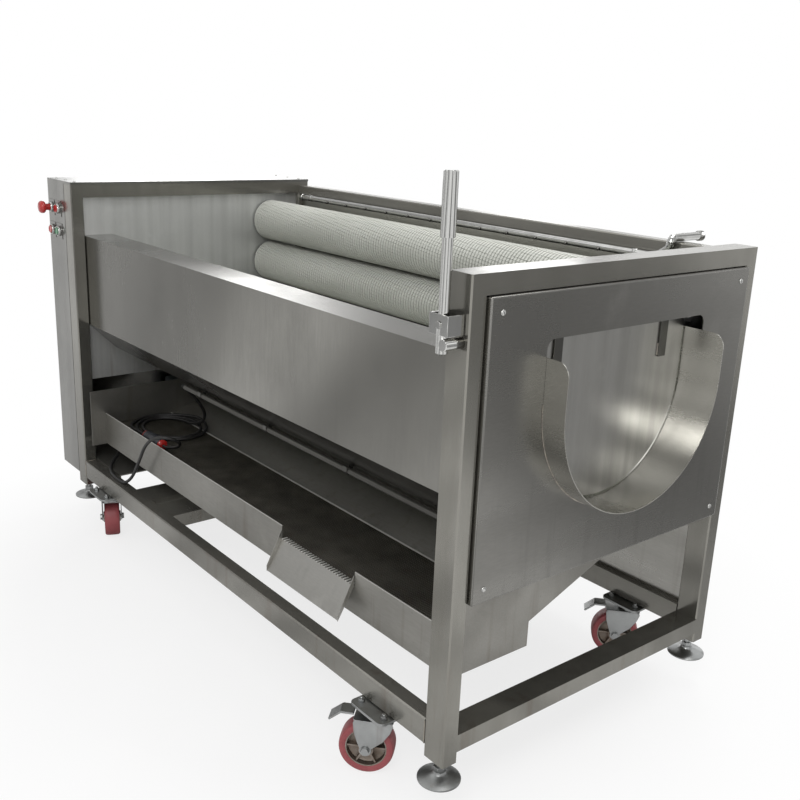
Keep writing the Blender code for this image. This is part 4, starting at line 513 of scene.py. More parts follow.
def deselect() -> None:
    """Leave nothing selected, in object mode."""
    if bpy.context.object and bpy.context.object.mode != "OBJECT":
        bpy.ops.object.mode_set(mode="OBJECT")
    bpy.ops.object.select_all(action="DESELECT")


def choose(*pieces: Piece) -> Piece:
    """Select these pieces alone and make the first one active.

    Args:
        pieces: The pieces.

    Returns:
        The first of them.
    """
    deselect()
    for piece in pieces:
        piece.select_set(True)
    bpy.context.view_layer.objects.active = pieces[0]
    return pieces[0]


def editing(kind: str = "FACE") -> None:
    """Enter edit mode on the active piece with all of it selected.

    Args:
        kind: What is picked: vertices, edges or faces.
    """
    bpy.ops.object.mode_set(mode="EDIT")
    bpy.ops.mesh.select_mode(type=kind)
    bpy.ops.mesh.select_all(action="SELECT")


def moved(x: float, y: float, z: float) -> Matrix:
    """Return a move."""
    return Matrix.Translation((x, y, z))


def spun(turn: float, axis: str) -> Matrix:
    """Return a turn in radians about an axis."""
    return Matrix.Rotation(turn, 4, axis)


def smoothed(angle: float = SMOOTH_ANGLE) -> None:
    """Shade the active piece smooth, with hard edges from an angle in degrees."""
    bpy.ops.object.shade_smooth_by_angle(angle=math.radians(angle))


def linked(piece: Piece) -> Piece:
    """Put a new piece in the scene."""
    bpy.context.scene.collection.objects.link(piece)
    return piece


def changed(piece: Piece, kind: str, **settings: object) -> Piece:
    """Apply one modifier with its settings to a piece.

    Args:
        piece: The piece.
        kind: The modifier's type.
        settings: The modifier's own settings.

    Returns:
        The same piece.
    """
    choose(piece)
    modifier = piece.modifiers.new(kind, kind)
    for label, value in settings.items():
        setattr(modifier, label, value)
    bpy.ops.object.modifier_apply(modifier=modifier.name)
    return piece


def finished(name: str, place: Matrix, angle: float = SMOOTH_ANGLE) -> Piece:
    """Leave edit mode, name the active piece, shade it and move its mesh to its place.

    Args:
        name: The piece's name.
        place: Where the drawn mesh goes.
        angle: The least angle in degrees that stays a hard edge.

    Returns:
        The finished piece.
    """
    if bpy.context.object.mode != "OBJECT":
        bpy.ops.object.mode_set(mode="OBJECT")
    piece = bpy.context.object
    piece.name = piece.data.name = name
    piece.data.transform(place @ piece.matrix_basis)
    piece.matrix_basis = UNMOVED
    smoothed(angle)
    return piece


def turned(name: str, profile: list[Pair], place: Matrix, sides: int = 32,
           angle: float = SMOOTH_ANGLE) -> Piece:
    """Turn a piece: a ring extruded and scaled along its axis, closed at both ends or into a loop.

    Args:
        name: The piece's name.
        profile: Each ring's radius and its distance along the axis. A last pair equal to the first makes
            a loop.
        place: Where the axis goes, drawn along +Z.
        sides: The number of faces round the axis.
        angle: The least angle in degrees that stays a hard edge.

    Returns:
        The turned piece.
    """
    deselect()
    loop = profile[0] == profile[-1]
    radius, along = profile[0]
    bpy.ops.mesh.primitive_circle_add(vertices=sides, radius=radius, location=(0, 0, along),
                                      fill_type="NOTHING" if loop else "NGON")
    editing("EDGE" if loop else "FACE")
    for (radius, along), (wider, further) in zip(profile, profile[1:]):
        bpy.ops.mesh.extrude_region_move(TRANSFORM_OT_translate={"value": (0, 0, further - along)})
        share = wider / radius
        bpy.ops.transform.resize(value=(share, share, 1), center_override=(0, 0, further))
    bpy.ops.mesh.select_all(action="SELECT")
    if loop:
        bpy.ops.mesh.remove_doubles(threshold=LOOP_MERGE)
    bpy.ops.mesh.normals_make_consistent(inside=False)
    return finished(name, place, angle)


def slab(name: str, outline: list[Pair], axis: Axis, start: float, end: float, bevel: float = 0.0,
         place: Matrix = UNMOVED) -> Piece:
    """Cut a plate to an outline: a many-sided disc moved to the outline, extruded and eased at its rims.

    Args:
        name: The piece's name.
        outline: The outline's points, drawn in the two axes that follow the given one.
        axis: The axis that the plate is extruded along.
        start: Where the plate starts on that axis.
        end: Where it ends.
        bevel: The width of the eased rims.
        place: A further move of the whole plate.

    Returns:
        The plate.
    """
    deselect()
    bpy.ops.mesh.primitive_circle_add(vertices=len(outline), radius=1.0, fill_type="NGON")
    for vertex, (first, second) in zip(bpy.context.object.data.vertices, outline):
        vertex.co = (first, second, start)
    editing()
    bpy.ops.mesh.extrude_region_move(TRANSFORM_OT_translate={"value": (0, 0, end - start)})
    bpy.ops.mesh.select_all(action="SELECT")
    bpy.ops.mesh.normals_make_consistent(inside=False)
    piece = finished(name, place @ axis.turn())
    return eased(piece, bevel) if bevel else piece


def block(name: str, low: Point, high: Point, bevel: float = 0.0, place: Matrix = UNMOVED) -> Piece:
    """Make a block between two corners with eased edges.

    Args:
        name: The piece's name.
        low: The lower corner.
        high: The upper corner.
        bevel: The width of the eased edges.
        place: A further move of the whole block.

    Returns:
        The block.
    """
    deselect()
    middle = [(a + b) / 2 for a, b in zip(low, high)]
    bpy.ops.mesh.primitive_cube_add(size=1.0, location=middle)
    bpy.context.object.scale = [b - a for a, b in zip(low, high)]
    piece = finished(name, place)
    return eased(piece, bevel) if bevel else piece


def eased(piece: Piece, width: float, segments: int = 2) -> Piece:
    """Round a piece's sharp edges.

    Args:
        piece: The piece.
        width: The width of the rounding.
        segments: How many steps it has.

    Returns:
        The same piece.
    """
    changed(piece, "BEVEL", width=width, segments=segments, limit_method="ANGLE",
            angle_limit=math.radians(EASE_ANGLE))
    smoothed()
    return piece


def cut(piece: Piece, *cutters: Piece) -> Piece:
    """Cut pieces out of another and remove them.

    Args:
        piece: The piece that is cut.
        cutters: The pieces that are cut out of it.

    Returns:
        The piece with its openings.
    """
    for cutter in cutters:
        changed(piece, "BOOLEAN", operation="DIFFERENCE", solver="EXACT", object=cutter)
        discard(cutter)
    choose(piece)
    smoothed(CUT_ANGLE)
    return piece


def discard(*spares: Piece) -> None:
    """Remove pieces that were only made to cut with or to copy."""
    for spare in spares:
        bpy.data.objects.remove(spare)


def drawn_tube(name: str, points: list[Vector], radius: float, resolution: int) -> Piece:
    """Draw a round tube along close points, as a curve.

    Args:
        name: The piece's name.
        points: The points of its centre line.
        radius: The tube's radius.
        resolution: How many steps each quarter of it has, less one.

    Returns:
        The tube.
    """
    curve = bpy.data.curves.new(name, "CURVE")
    curve.dimensions = "3D"
    curve.bevel_depth = radius
    curve.bevel_resolution = resolution
    curve.use_fill_caps = True
    line = curve.splines.new("POLY")
    line.points.add(len(points) - 1)
    for knot, point in zip(line.points, points):
        knot.co = (*point, 1.0)
    line.use_smooth = True
    return linked(bpy.data.objects.new(name, curve))


def pipe(name: str, points: list[Point], radius: float, sides: int = 24, rounding: float = 0.0) -> Piece:
    """Bend a round pipe along straight runs, with its corners drawn round.

    Args:
        name: The piece's name.
        points: The corners of the pipe's centre line.
        radius: The pipe's outer radius.
        sides: The number of faces round the pipe.
        rounding: The radius of its bends.

    Returns:
        The pipe as a mesh.
    """
    deselect()
    route = rounded_route(points, rounding) if rounding else [Vector(point) for point in points]
    choose(drawn_tube(name, route, radius, max(1, sides // 4 - 1)))
    bpy.ops.object.convert(target="MESH")
    editing("VERT")
    bpy.ops.mesh.remove_doubles(threshold=PIPE_MERGE)
    bpy.ops.mesh.normals_make_consistent(inside=False)
    return finished(name, UNMOVED)


def rounded_route(points: list[Point], rounding: float) -> list[Vector]:
    """Replace a route's corners by short arcs of the given radius.

    Args:
        points: The route's corners.
        rounding: The radius of the arcs.

    Returns:
        The points of the rounded route.
    """
    knots = [Vector(point) for point in points]
    route = [knots[0]]
    for before, corner, after in zip(knots, knots[1:], knots[2:]):
        into, out = (before - corner).normalized(), (after - corner).normalized()
        start, end = corner + into * rounding, corner + out * rounding
        for step in range(BEND_STEPS + 1):
            share = step / BEND_STEPS
            route.append(start.lerp(corner, share).lerp(corner.lerp(end, share), share))
    return [*route, knots[-1]]


def joined(name: str, *pieces: Piece) -> Piece:
    """Join pieces of one finish into one piece.

    Args:
        name: The joined piece's name.
        pieces: The pieces, which are used up.

    Returns:
        The joined piece.
    """
    piece = choose(*pieces)
    bpy.ops.object.join()
    piece.name = piece.data.name = name
    return piece


def copied(piece: Piece, name: str, move: Matrix = UNMOVED) -> Piece:
    """Copy a piece with its own mesh and move the copy's mesh.

    Args:
        piece: The pattern.
        name: The copy's name.
        move: Where the copy's mesh goes.

    Returns:
        The copy.
    """
    twin = piece.copy()
    twin.data = piece.data.copy()
    twin.name = twin.data.name = name
    twin.data.transform(move)
    return linked(twin)


def fit(piece: Piece, body: str, finish: Finish, *replaces: str) -> Piece:
    """Dress a finished piece, set it on its body and say which solids it stands for.

    Args:
        piece: The finished piece.
        body: The name of the body that it rides on.
        finish: The piece's finish.
        replaces: The solids that it stands for.

    Returns:
        The same piece.
    """
    piece.data.materials.clear()
    piece.data.materials.append(finish.material())
    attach(piece, body)
    if replaces:
        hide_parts(*replaces)
    LOG.info("%s: %s on %s", piece.name, finish.name, body)
    return piece


def at(place: Point, axis: Axis = Axis.Z) -> Matrix:
    """Return the place of a piece that is drawn on +Z and put on an axis through a point."""
    return Matrix.Translation(place) @ axis.turn()


def arc(centre: Pair, radius: float, start: float, end: float, steps: int) -> list[Pair]:
    """Return points along an arc, from one angle in degrees to another."""
    turns = [math.radians(start + (end - start) * step / steps) for step in range(steps + 1)]
    return [(centre[0] + radius * math.cos(turn), centre[1] + radius * math.sin(turn)) for turn in turns]


def soft_corners(low: Pair, high: Pair, radius: float, steps: int = 6) -> list[Pair]:
    """Return a rectangle's outline with round corners.

    Args:
        low: The lower corner.
        high: The upper corner.
        radius: The radius of the corners.
        steps: How many steps each corner has.

    Returns:
        The outline's points.
    """
    corners = ((high[0] - radius, high[1] - radius), (low[0] + radius, high[1] - radius),
               (low[0] + radius, low[1] + radius), (high[0] - radius, low[1] + radius))
    points = []
    for index, centre in enumerate(corners):
        points += arc(centre, radius, 90 * index, 90 * index + 90, steps)
    return points


def hexagon(radius: float) -> list[Pair]:
    """Return a hexagon's outline by its corner radius."""
    return arc((0.0, 0.0), radius, 0, 300, 5)


def mirrored(*half: Pair) -> list[Pair]:
    """Return the closed profile of a ring that is the same on both sides, from one side's points."""
    return [*((radius, -along) for radius, along in half), *reversed(half), (half[0][0], -half[0][1])]


def ridged(pitch: float, count: int, *ridge: Pair) -> list[Pair]:
    """Return a turned profile's points that repeat one ridge's at a pitch."""
    return [(radius, along + number * pitch) for number in range(count) for radius, along in ridge]


# Sub-assemblies

@dataclass
class OutletEnd:
    """The raised outlet cover with its U opening, and the curved lip welded round the opening."""

    front: float = 1.0001
    back: float = 0.9747
    sheet: float = 0.002
    near: float = -0.4023
    far: float = 0.4071
    low: float = 0.496
    high: float = 1.1023
    radius: float = 0.250
    centre_z: float = 0.872
    opening_top: float = 1.0085
    corner: float = 0.020
    lip_start: float = 0.934
    lip_end: float = 1.0576
    arm_top: float = 0.974
    lip_corner: float = 0.030
    screw_inset: float = 0.030
    steps: int = 72

    def u_outline(self, radius: float, top: float) -> list[Pair]:
        """Return a U outline of a radius that is closed with round corners at its top.

        Args:
            radius: The radius of the U.
            top: The height of its closed top.

        Returns:
            The outline's points.
        """
        centre = (MIDDLE_Y, self.centre_z)
        points = arc(centre, radius, 180, 360, self.steps)
        right, left = MIDDLE_Y + radius - self.corner, MIDDLE_Y - radius + self.corner
        points += arc((right, top - self.corner), self.corner, 0, 90, 8)
        return points + arc((left, top - self.corner), self.corner, 90, 180, 8)

    def make_cover(self) -> None:
        """Fold the cover from one sheet, cut its opening and set its four dome screws."""
        shell = block("outlet_cover", (self.back, self.near, self.low), (self.front, self.far, self.high))
        eased(shell, 0.0035, 3)
        inner = block("inner", (self.back - self.sheet, self.near + self.sheet, self.low + self.sheet),
                      (self.front - self.sheet, self.far - self.sheet, self.high - self.sheet))
        eased(inner, 0.0018, 2)
        opening = slab("opening", self.u_outline(self.radius, self.opening_top), Axis.X,
                       self.back - self.sheet, self.front + self.sheet)
        notch = block("notch", (self.back - self.sheet, self.near - self.sheet, 1.0035),
                      (self.back + 0.0095, self.near + self.corner, 1.0345))
        cover = cut(shell, inner, opening, notch)
        dome = [(0.0060, -0.0005), (0.0059, 0.0008), (0.0052, 0.0018), (0.0038, 0.0026),
                (0.0018, 0.0030), (0.0004, 0.0031)]
        screws = []
        for y in (self.near + self.screw_inset, self.far - self.screw_inset):
            for z in (self.low + self.screw_inset, self.high - self.screw_inset):
                screws.append(turned("dome", dome, at((self.front, y, z), Axis.X), 20))
        fit(joined("cover_screws", *screws), "frame", BRIGHT_STEEL)
        fit(cover, "frame", COVER_STEEL, "outlet_plate")

    def make_lip(self) -> None:
        """Roll the discharge lip and round its outer corners."""
        outer, inner = self.radius - 0.0004, self.radius - 0.0024
        centre = (MIDDLE_Y, self.centre_z)
        outline = [(MIDDLE_Y - outer, self.arm_top)] + arc(centre, outer, 180, 360, self.steps)
        outline += [(MIDDLE_Y + outer, self.arm_top), (MIDDLE_Y + inner, self.arm_top)]
        outline += arc(centre, inner, 360, 180, self.steps) + [(MIDDLE_Y - inner, self.arm_top)]
        lip = slab("curved_lip", outline, Axis.X, self.lip_start, self.lip_end)
        edge_x, edge_z = self.lip_end - self.lip_corner, self.arm_top - self.lip_corner
        over = self.lip_end + self.corner
        profile = arc((edge_z, edge_x), self.lip_corner, 0, 90, 10)
        corner = [*profile, (edge_z, over), (self.arm_top + self.corner, over),
                  (self.arm_top + self.corner, edge_x)]
        cutter = slab("corner", corner, Axis.Y, MIDDLE_Y - self.radius * 1.1, MIDDLE_Y + self.radius * 1.1)
        fit(cut(lip, cutter), "frame", LIP_STEEL_AND_HIGHLIGHT, "discharge_lip")

    def make_weld(self) -> None:
        """Run the thin weld between the lip and the cover's opening."""
        centre = (MIDDLE_Y, self.centre_z)
        points = arc(centre, self.radius - 0.0001, 178, 362, self.steps)
        route = [(self.front + 0.0002, y, z) for y, z in points]
        fit(pipe("lip_weld", route, 0.0013, BEAD_SIDES), "frame", WELD_STEEL)

    def build(self) -> None:
        """Build the whole outlet end."""
        self.make_cover()
        self.make_lip()
        self.make_weld()


@dataclass
class Gate:
    """The swinging flap behind the opening, its cross shaft, lugs and hand lever."""

    outlet: OutletEnd
    back: float = 0.9504
    front: float = 0.9534
    flap_top: float = 1.0015
    clearance: float = 0.0063
    shaft_x: float = 0.96965
    shaft_z: float = 1.019
    shaft_near: float = -0.4593
    shaft_far: float = 0.2324
    shaft_radius: float = 0.010
    lug_spread: float = 0.170
    lug_low: float = 0.915
    lever_x: float = 0.95365
    lever_y: float = -0.472646
    hub_start: float = -0.4866
    strap_end: float = -0.4446

    def make_flap(self) -> None:
        """Cut the flap to the opening's own U, a little smaller."""
        radius = self.outlet.radius - self.clearance
        centre = (MIDDLE_Y, self.outlet.centre_z)
        outline = arc(centre, radius, 180, 360, self.outlet.steps)
        outline += [(MIDDLE_Y + radius, self.flap_top), (MIDDLE_Y - radius, self.flap_top)]
        flap = slab("swing_flap", outline, Axis.X, self.back, self.front, 0.0006)
        fit(flap, "gate", FLAP_STEEL, "gate_flap")

    def make_shaft(self) -> None:
        """Turn the shaft with chamfered ends and weld on its two flat lugs with their webs."""
        r, length = self.shaft_radius, self.shaft_far - self.shaft_near
        profile = [(r - 0.0015, 0), (r, 0.0015), (r, length - 0.0015), (r - 0.0015, length)]
        pieces = [turned("shaft", profile, at((self.shaft_x, self.shaft_near, self.shaft_z), Axis.Y), 28)]
        face, half, web, beads = self.front + 0.0003, 0.0125, 0.007, []
        for y in (MIDDLE_Y - self.lug_spread, MIDDLE_Y + self.lug_spread):
            outline = soft_corners((y - half, self.lug_low), (y + half, self.shaft_z + web), 0.0012, 2)
            pieces.append(slab("lug", outline, Axis.X, face, face + 0.004, 0.0006))
            pieces.append(block("web", (face, y - half, self.shaft_z - web),
                                (self.shaft_x, y + half, self.shaft_z + web), 0.0006))
            for edge in (y - 0.0128, y + 0.0128):
                ends = [(face + 0.0003, edge, self.lug_low + up) for up in (0.004, 0.030)]
                beads.append(pipe("bead", ends, 0.0014, BEAD_SIDES))
        # Painted shade: the shaft takes the dark pipe finish because it sits in shade.
        fit(joined("swing_shaft", *pieces), "gate", PIPE_STEEL_AND_SHADE, "gate_shaft")
        fit(joined("lug_welds", *beads), "gate", WELD_STEEL)

    def make_lever(self) -> None:
        """Make the hand lever: rod with its socket and wider grip, hub on the shaft, strap and nut."""
        place = at((self.lever_x, self.lever_y, 0))
        rod = [(0.0090, 0.998), (0.0120, 1.001), (0.0120, 1.047), (0.0112, 1.049),
               (0.0100, 1.0492), (0.0100, 1.2045), (0.0128, 1.205), (0.0135, 1.2065),
               (0.0135, 1.3160), (0.0120, 1.318)]
        hub = [(0.0095, 0), (0.0110, 0.0012), (0.0110, 0.0250), (0.0095, 0.0264)]
        pieces = [turned("rod", rod, place, 32),
                  turned("hub", hub, at((self.shaft_x, self.hub_start, self.shaft_z), Axis.Y), 28)]
        back, front = self.lever_x - 0.026, self.lever_x + 0.024
        inside, outside, gauge = self.strap_end, self.lever_y - 0.011, 0.003
        strap = [(back, inside), (back, outside), (front, outside), (front, inside), (front - gauge, inside),
                 (front - gauge, outside + gauge), (back + gauge, outside + gauge), (back + gauge, inside)]
        pieces.append(slab("strap", strap, Axis.Z, 1.034, 1.072, 0.0008))
        pieces.append(slab("nut", hexagon(0.0075), Axis.Y, self.hub_start, -0.4826, 0.0006,
                           moved(self.lever_x, 0, 1.0530)))
        fit(joined("hand_lever", *pieces), "gate", BRIGHT_STEEL, "gate_lever")

    def build(self) -> None:
        """Build the whole gate."""
        self.make_flap()
        self.make_shaft()
        self.make_lever()


@dataclass
class BrushRollers:
    """The eight brush rollers: tufted core, end discs, stub shafts and their sprockets."""

    places: tuple[Pair, ...] = ((-0.29065, 0.863), (-0.25139, 0.7165), (-0.14415, 0.60925), (0.00235, 0.57),
                                (0.14885, 0.60925), (0.2561, 0.7165), (0.29535, 0.863), (0.29535, 1.01))
    start: float = -0.86835
    end: float = 0.92365
    core: float = 0.0590
    tip: float = 0.0700
    stub: float = 0.0125
    sprocket_x: float = -0.9263
    second_x: float = -0.9463
    rings: int = 150
    tufts: int = 44
    ring_lean: float = 0.021
    scatter: Pair = (12.9898, 78.233)
    uneven: Pair = (0.0003, 0.0004)
    roller_turn: float = 0.37
    root: Pair = (0.0056, 0.0040)
    head: Pair = (0.0038, 0.0045)
    driven: int = 4
    teeth: int = 12

    def make_tufts(self) -> Piece:
        """Set one roller's tufts in rings, each a square bundle that narrows along the axis to its head.

        Returns:
            The tufts of one roller, on the X axis.
        """
        mesh = bpy.data.meshes.new("tufts")
        points, faces, reach = [], [], []
        pitch = (self.end - self.start) / self.rings
        top = self.tip - self.uneven[0]
        corners = ((1, 1), (-1, 1), (-1, -1), (1, -1))
        for ring in range(self.rings):
            x = self.start + pitch * (ring + 0.5)
            for tuft in range(self.tufts):
                turn = math.tau * tuft / self.tufts + ring * self.ring_lean
                out = Vector((0, math.cos(turn), math.sin(turn)))
                side = Vector((0, -math.sin(turn), math.cos(turn)))
                wobble = math.sin(ring * self.scatter[0] + tuft * self.scatter[1])
                first = len(points)
                ends = ((self.core - 0.001, self.root, 0.0), (top + wobble * self.uneven[0], self.head, 1.0))
                for radius, size, share in ends:
                    middle = Vector((x + wobble * self.uneven[1] * share, 0, 0)) + out * radius
                    for a, b in corners:
                        points.append(middle + Vector((1, 0, 0)) * a * size[0] + side * b * size[1])
                        reach.append(share)
                for a in range(4):
                    b = (a + 1) % 4
                    faces.append((first + a, first + b, first + 4 + b, first + 4 + a))
                faces.append((first + 4, first + 5, first + 6, first + 7))
        mesh.from_pydata(points, [], faces)
        layer = mesh.attributes.new("reach", "FLOAT", "POINT")
        layer.data.foreach_set("value", reach)
        piece = choose(linked(bpy.data.objects.new("tufts", mesh)))
        smoothed(TUFT_ANGLE)
        return piece

    def sprocket(self, x: float) -> Piece:
        """Cut one sprocket: its teeth on a plate with a hub.

        Args:
            x: Its place along the machine.

        Returns:
            The sprocket, on the X axis.
        """
        flank = ((0.0362, -11.0), (0.0405, -6.5), (0.0432, -2.6), (0.0432, 2.6),
                 (0.0405, 6.5), (0.0362, 11.0))
        outline = []
        for tooth in range(self.teeth):
            middle = 360.0 * tooth / self.teeth
            for radius, offset in flank:
                turn = math.radians(middle + offset)
                outline.append((radius * math.cos(turn), radius * math.sin(turn)))
        plate = slab("sprocket", outline, Axis.X, x - 0.0035, x + 0.0035, 0.0007)
        profile = [(0.0200, -0.004), (0.0210, -0.003), (0.0210, 0.003), (0.0200, 0.004)]
        return joined("sprocket", plate, turned("boss", profile, at((x, 0, 0), Axis.X), 28))

    def build(self) -> None:
        """Model one roller's pieces, then copy them to all eight places."""
        tufts = self.make_tufts()
        r, length, chamfer = self.core, self.end - self.start, 0.003
        tube = [(r - chamfer, 0), (r, chamfer), (r, length - chamfer), (r - chamfer, length)]
        core = turned("core", tube, at((self.start, 0, 0), Axis.X), 48)
        disc = [(r - 0.002, 0), (r - 0.001, 0.0008), (r - 0.001, 0.0024), (0.024, 0.0026), (0.022, 0.006),
                (0.0126, 0.006)]
        tip = [(self.stub - 0.001, 0), (self.stub, 0.001), (self.stub, 0.0436), (self.stub - 0.001, 0.0446)]
        spindle = turned("spindle", tip, at((self.end - 0.0006, 0, 0), Axis.X), 24)
        caps = [turned("cap", disc, at((self.end - 0.001, 0, 0), Axis.X), 36),
                turned("cap", disc, at((self.start + 0.001, 0, 0), Axis.X) @ spun(math.pi, "X"), 36)]
        for number, (y, z) in enumerate(self.places, 1):
            body, move = f"roller_{number}", moved(0, y, z)
            wheels = [self.sprocket_x, self.second_x] if number == self.driven else [self.sprocket_x]
            tail = self.start - wheels[-1] + 0.004
            stub = turned("stub", [(self.stub - 0.001, 0), (self.stub, 0.001), (self.stub, tail)],
                          at((self.start - tail, 0, 0), Axis.X), 24)
            metal = joined(f"roller_shaft_{number}", stub, copied(spindle, "spindle_twin"),
                           *(copied(cap, "cap_twin") for cap in caps))
            metal.data.transform(move)
            fit(metal, body, BRIGHT_STEEL)
            wheel = joined(f"roller_sprocket_{number}", *(self.sprocket(x) for x in wheels))
            wheel.data.transform(move)
            fit(wheel, body, CHAIN_STEEL)
            fit(copied(core, f"roller_core_{number}", move), body, SHADED_CORE_TUBE)
            turn = spun(number * self.roller_turn, "X")
            fit(copied(tufts, f"roller_tufts_{number}", move @ turn), body, FIBRE, f"brush_roller_{number}")
        discard(tufts, core, spindle, *caps)


@dataclass
class Drive:
    """The drive in the housing: geared motor, its sprocket and the two roller chains."""

    gearbox_x: Pair = (-1.0453, -0.9653)
    gearbox_z: Pair = (0.2286, 0.4300)
    half_width: float = 0.068
    axis_z: float = 0.365
    motor_x: float = -0.96535
    motor_z: float = 0.310
    motor_radius: float = 0.070
    motor_start: float = 0.0707
    motor_end: float = 0.3207
    fins: int = 28
    chain_x: float = -0.9263
    second_x: float = -0.9463
    pitch: float = 0.0127
    rollers: tuple[Pair, ...] = BrushRollers.places
    link_radius: float = 0.0462
    hull_steps: int = 48

    def make_gearbox(self) -> None:
        """Cast the gearbox with its flange, ribs, output hub, foot and cover bolts."""
        low, high = self.gearbox_x
        bottom, top = self.gearbox_z
        case = block("case", (low + 0.004, MIDDLE_Y - self.half_width + 0.006, bottom),
                     (high - 0.004, MIDDLE_Y + self.half_width - 0.003, top), 0.010)
        pieces = [case, block("flange", (low, MIDDLE_Y + self.half_width - 0.012, bottom + 0.012),
                              (high, MIDDLE_Y + self.half_width, top - 0.050), 0.004)]
        for share in (0.2, 0.4, 0.6, 0.8):
            z = bottom + (top - bottom) * share
            pieces.append(block("rib", (low + 0.0005, MIDDLE_Y - self.half_width + 0.012, z - 0.003),
                                (high - 0.0005, MIDDLE_Y + self.half_width - 0.014, z + 0.003), 0.0012))
        hub = turned("hub", [(0.034, 0), (0.034, 0.004), (0.030, 0.007)],
                     at((high - 0.008, MIDDLE_Y, self.axis_z), Axis.X), 36)
        foot = block("foot", (low, MIDDLE_Y - self.half_width, bottom),
                     (high, MIDDLE_Y + self.half_width, bottom + 0.010), 0.002)
        bolts = [slab("bolt", hexagon(0.006), Axis.X, high - 0.004, high + 0.0005, 0.0006,
                      moved(0, MIDDLE_Y + y, self.axis_z + z))
                 for y in (-0.044, 0.044) for z in (-0.044, 0.044)]
        fit(joined("gear_case", *pieces, hub, foot, *bolts), "frame", CASING_PAINT, "gearbox")

    def make_motor(self) -> None:
        """Make the finned motor with its end bells, fan cowl, terminal box and feet."""
        start, length = self.motor_start, self.motor_end - self.motor_start
        x, r, z = self.motor_x, self.motor_radius, self.motor_z
        place = at((x, start, z), Axis.Y)
        profile = [(r - 0.012, 0), (r - 0.004, 0.004), (r - 0.004, 0.022), (r - 0.014, 0.024),
                   (r - 0.014, length - 0.062), (r - 0.003, length - 0.060), (r - 0.001, length - 0.010),
                   (r - 0.010, length)]
        pieces = [turned("body", profile, place, 40)]
        for number in range(self.fins):
            turn = spun(math.tau * number / self.fins, "Z")
            pieces.append(block("fin", (r - 0.016, -0.0012, 0.024), (r - 0.001, 0.0012, length - 0.060),
                                0.0006, place @ turn))
        pieces.append(block("terminal", (x - 0.034, start + 0.050, z + r - 0.012),
                            (x + 0.034, start + 0.120, z + r), 0.003))
        for share in (0.16, 0.68):
            y = start + length * share
            pieces.append(block("foot", (x - 0.050, y - 0.014, 0.2287),
                                (x + 0.050, y + 0.014, 0.2347), 0.0015))
            pieces.append(block("leg", (x - 0.036, y - 0.008, 0.2340),
                                (x + 0.036, y + 0.008, z - 0.035), 0.002))
        fit(joined("drive_motor", *pieces), "frame", MOTOR_PAINT, "motor")

    def make_sprocket(self) -> None:
        """Cut the motor's sprocket with its hub, on the output's own body."""
        wheel = BrushRollers().sprocket(self.second_x)
        wheel.data.transform(moved(0, MIDDLE_Y, self.axis_z))
        hub = turned("hub", [(0.0125, 0), (0.0200, 0.001), (0.0200, 0.016), (0.0125, 0.017)],
                     at((self.second_x - 0.0185, MIDDLE_Y, self.axis_z), Axis.X), 28)
        fit(joined("output_sprocket", wheel, hub), "drive_output", CHAIN_STEEL, "drive_sprocket")

    def hull(self, centres: list[Pair]) -> list[Pair]:
        """Return the outline of a chain pulled round its sprockets.

        Args:
            centres: The sprockets' centres.

        Returns:
            The outline's points, in order.
        """
        turns = [math.tau * step / self.hull_steps for step in range(self.hull_steps)]
        r = self.link_radius
        points = sorted({(round(y + r * math.cos(turn), 6), round(z + r * math.sin(turn), 6))
                         for y, z in centres for turn in turns})
        rings: list[list[Pair]] = []
        for run in (points, points[::-1]):
            edge: list[Pair] = []
            for point in run:
                while len(edge) > 1 and ((edge[-1][0] - edge[-2][0]) * (point[1] - edge[-2][1])
                                         - (edge[-1][1] - edge[-2][1]) * (point[0] - edge[-2][0])) <= 0:
                    edge.pop()
                edge.append(point)
            rings.append(edge[:-1])
        return rings[0] + rings[1]

    def walked(self, outline: list[Pair]) -> list[tuple[Pair, float]]:
        """Return evenly spaced places along a closed outline with the direction at each.

        Args:
            outline: The closed outline.

        Returns:
            Each link's place and its direction in radians.
        """
        loop = [Vector(point) for point in outline] + [Vector(outline[0])]
        total = sum((b - a).length for a, b in zip(loop, loop[1:]))
        count = round(total / self.pitch / 2) * 2
        step, places, travelled, wanted = total / count, [], 0.0, 0.0
        for a, b in zip(loop, loop[1:]):
            run = (b - a).length
            while wanted < travelled + run - 1e-9 and len(places) < count:
                spot = a.lerp(b, (wanted - travelled) / run)
                places.append(((spot.x, spot.y), math.atan2(b.y - a.y, b.x - a.x)))
                wanted += step
            travelled += run
        return places

    def make_chain(self, name: str, centres: list[Pair], x: float, node: str) -> None:
        """Model one chain: paired link plates and a pin roller at every pitch.

        Args:
            name: The piece's name.
            centres: The sprockets' centres.
            x: The chain's place along the machine.
            node: The solid that it stands for.
        """
        half = self.pitch / 2
        waist = [*arc((half, 0), 0.0032, -80, 80, 4), *arc((-half, 0), 0.0032, 100, 260, 4)]
        plates = []
        for near, far in ((0.0030, 0.0040), (0.0018, 0.0028)):
            pair = [slab("plate", waist, Axis.X, *ends) for ends in ((-far, -near), (near, far))]
            plates.append(joined("plates", *pair))
        outer, inner = plates
        pin = turned("pin", [(0.0026, -0.0038), (0.0026, 0.0038)], at((0, 0, 0), Axis.X), 8)
        links = []
        for index, ((y, z), turn) in enumerate(self.walked(self.hull(centres))):
            spot = moved(x, y, z) @ spun(turn, "X")
            links.append(copied(outer if index % 2 else inner, "link", spot))
            links.append(copied(pin, "roll", spot @ moved(0, half, 0)))
        discard(outer, inner, pin)
        fit(joined(name, *links), "frame", CHAIN_STEEL, node)

